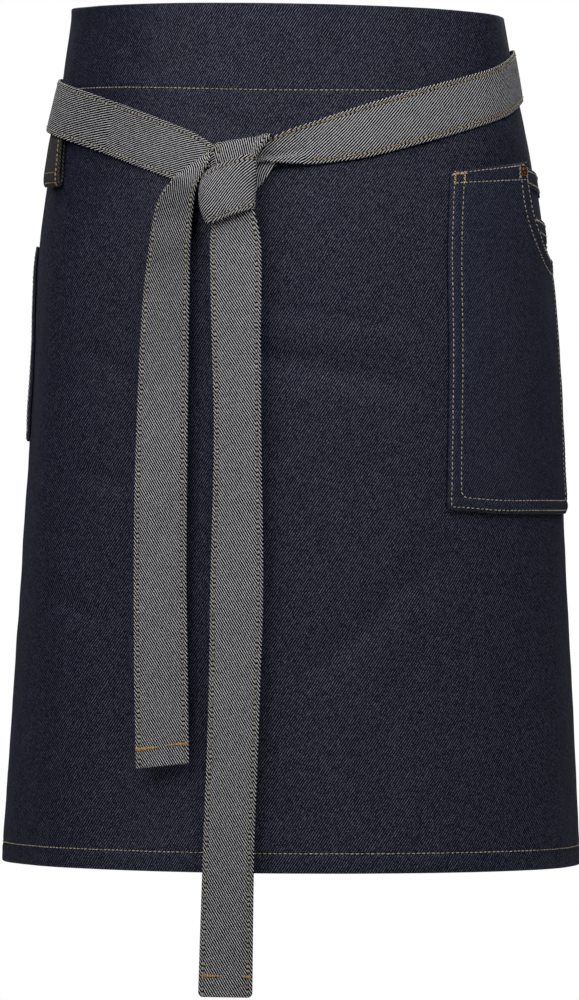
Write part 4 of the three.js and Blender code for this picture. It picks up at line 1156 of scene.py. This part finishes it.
# Dark dots of painted shade in the ties' needle holes
painted_hole_shade_mesh = painted_hole_shade_dots.build("tie_needle_hole_painted_shade", hole_shade_material)
tie_tacks = tie_tack.build("tie_tacks", tie_tack_thread)

PIECES = [  # piece, node that it stands for, material slot
    (panel_cloth, "apron_panel", "denim"),
    (pocket_cloth, "pocket_right_front", "pocket_denim"),
    (backing_cloth, "pocket_right_backing", "pocket_denim"),
    (coin_cloth, "pocket_right_coin", "pocket_denim"),
    (left_cloth, "pocket_left", "pocket_denim"),
    (rivet_cap, "pocket_rivet", "rivet_copper"),
    (left_tie, "tie_left", "tie_twill"),
    (right_tie, "tie_right", "tie_twill"),
    (tie_fold, "tie_right", "tie_twill"),
    (side_loop, "side_loop", "loop_twill"),
]
STITCHING = [panel_stitches, pocket_stitches, stitch_dip_shade, pocket_tacks, tie_stitching, straw_stitching, painted_hole_shade_mesh,
             tie_tacks]
for piece, node, slot in PIECES:
    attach(piece, "root")
    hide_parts(node)
for piece in STITCHING:
    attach(piece, "root")


# Stage: pale floor, white surroundings, soft light from the upper left of the front
FLOOR_Z, FLOOR_RADIUS = -1010.0, 2400.0
LIGHT_TARGET = Vector((0, 0, -0.15))
LIGHTS = [  # name, turn from the front, rise, distance, size, power
    ("key", -30, 45, 2.0, 1.9, 40),
    ("right", 50, 42, 2.0, 0.9, 26.5),
    ("back left", -140, 35, 2.2, 1.2, 26),
    ("back right", 180, 35, 2.2, 1.2, 26),
]
FILL_LIGHT = 0.008


def floor():
    turn = np.linspace(0, 2 * math.pi, 96, endpoint=False)
    points = np.stack([FLOOR_RADIUS * np.cos(turn), FLOOR_RADIUS * np.sin(turn), np.full(96, FLOOR_Z)], -1)
    faces = np.arange(96)[None]
    shader = Shader("pale_floor")
    x, y = shader.uv()
    grain = shader.noise(x, y, 40, 40, 2.0)
    shader.set(Base_Color=shader.mix(grain, (0.84, 0.84, 0.845, 1), (0.9, 0.9, 0.9, 1)), Roughness=0.8)
    thing = mesh_object("floor", points, [(faces, points[faces][..., :2], 0)], [shader.material])


def area_light(name, turn, rise, distance, size, power):
    """Round soft light on the apron."""
    turn, rise = math.radians(turn), math.radians(rise)
    way = Vector((math.cos(rise) * math.sin(turn), -math.cos(rise) * math.cos(turn), math.sin(rise)))
    data = bpy.data.lights.new(name, "AREA")
    data.shape = "DISK"
    data.size = size
    data.energy = power
    thing = add_object(name, data)
    thing.location = LIGHT_TARGET + way * distance
    thing.rotation_euler = (-way).to_track_quat("-Z", "Y").to_euler()
    thing.visible_camera = False


def surroundings(fill):
    world = bpy.data.worlds.new("studio")
    bpy.context.scene.world = world
    world.use_nodes = True
    tree = world.node_tree
    tree.nodes.clear()
    seen = tree.nodes.new("ShaderNodeLightPath")
    strength = tree.nodes.new("ShaderNodeMix")
    strength.inputs[2].default_value = fill
    strength.inputs[3].default_value = 1.0
    tree.links.new(seen.outputs["Is Camera Ray"], strength.inputs[0])
    background = tree.nodes.new("ShaderNodeBackground")
    background.inputs[0].default_value = (1, 1, 1, 1)
    tree.links.new(strength.outputs[0], background.inputs[1])
    output = tree.nodes.new("ShaderNodeOutputWorld")
    tree.links.new(background.outputs[0], output.inputs[0])


floor()
for light in LIGHTS:
    area_light(*light)
surroundings(FILL_LIGHT)
bpy.context.scene.view_settings.view_transform = "Standard"
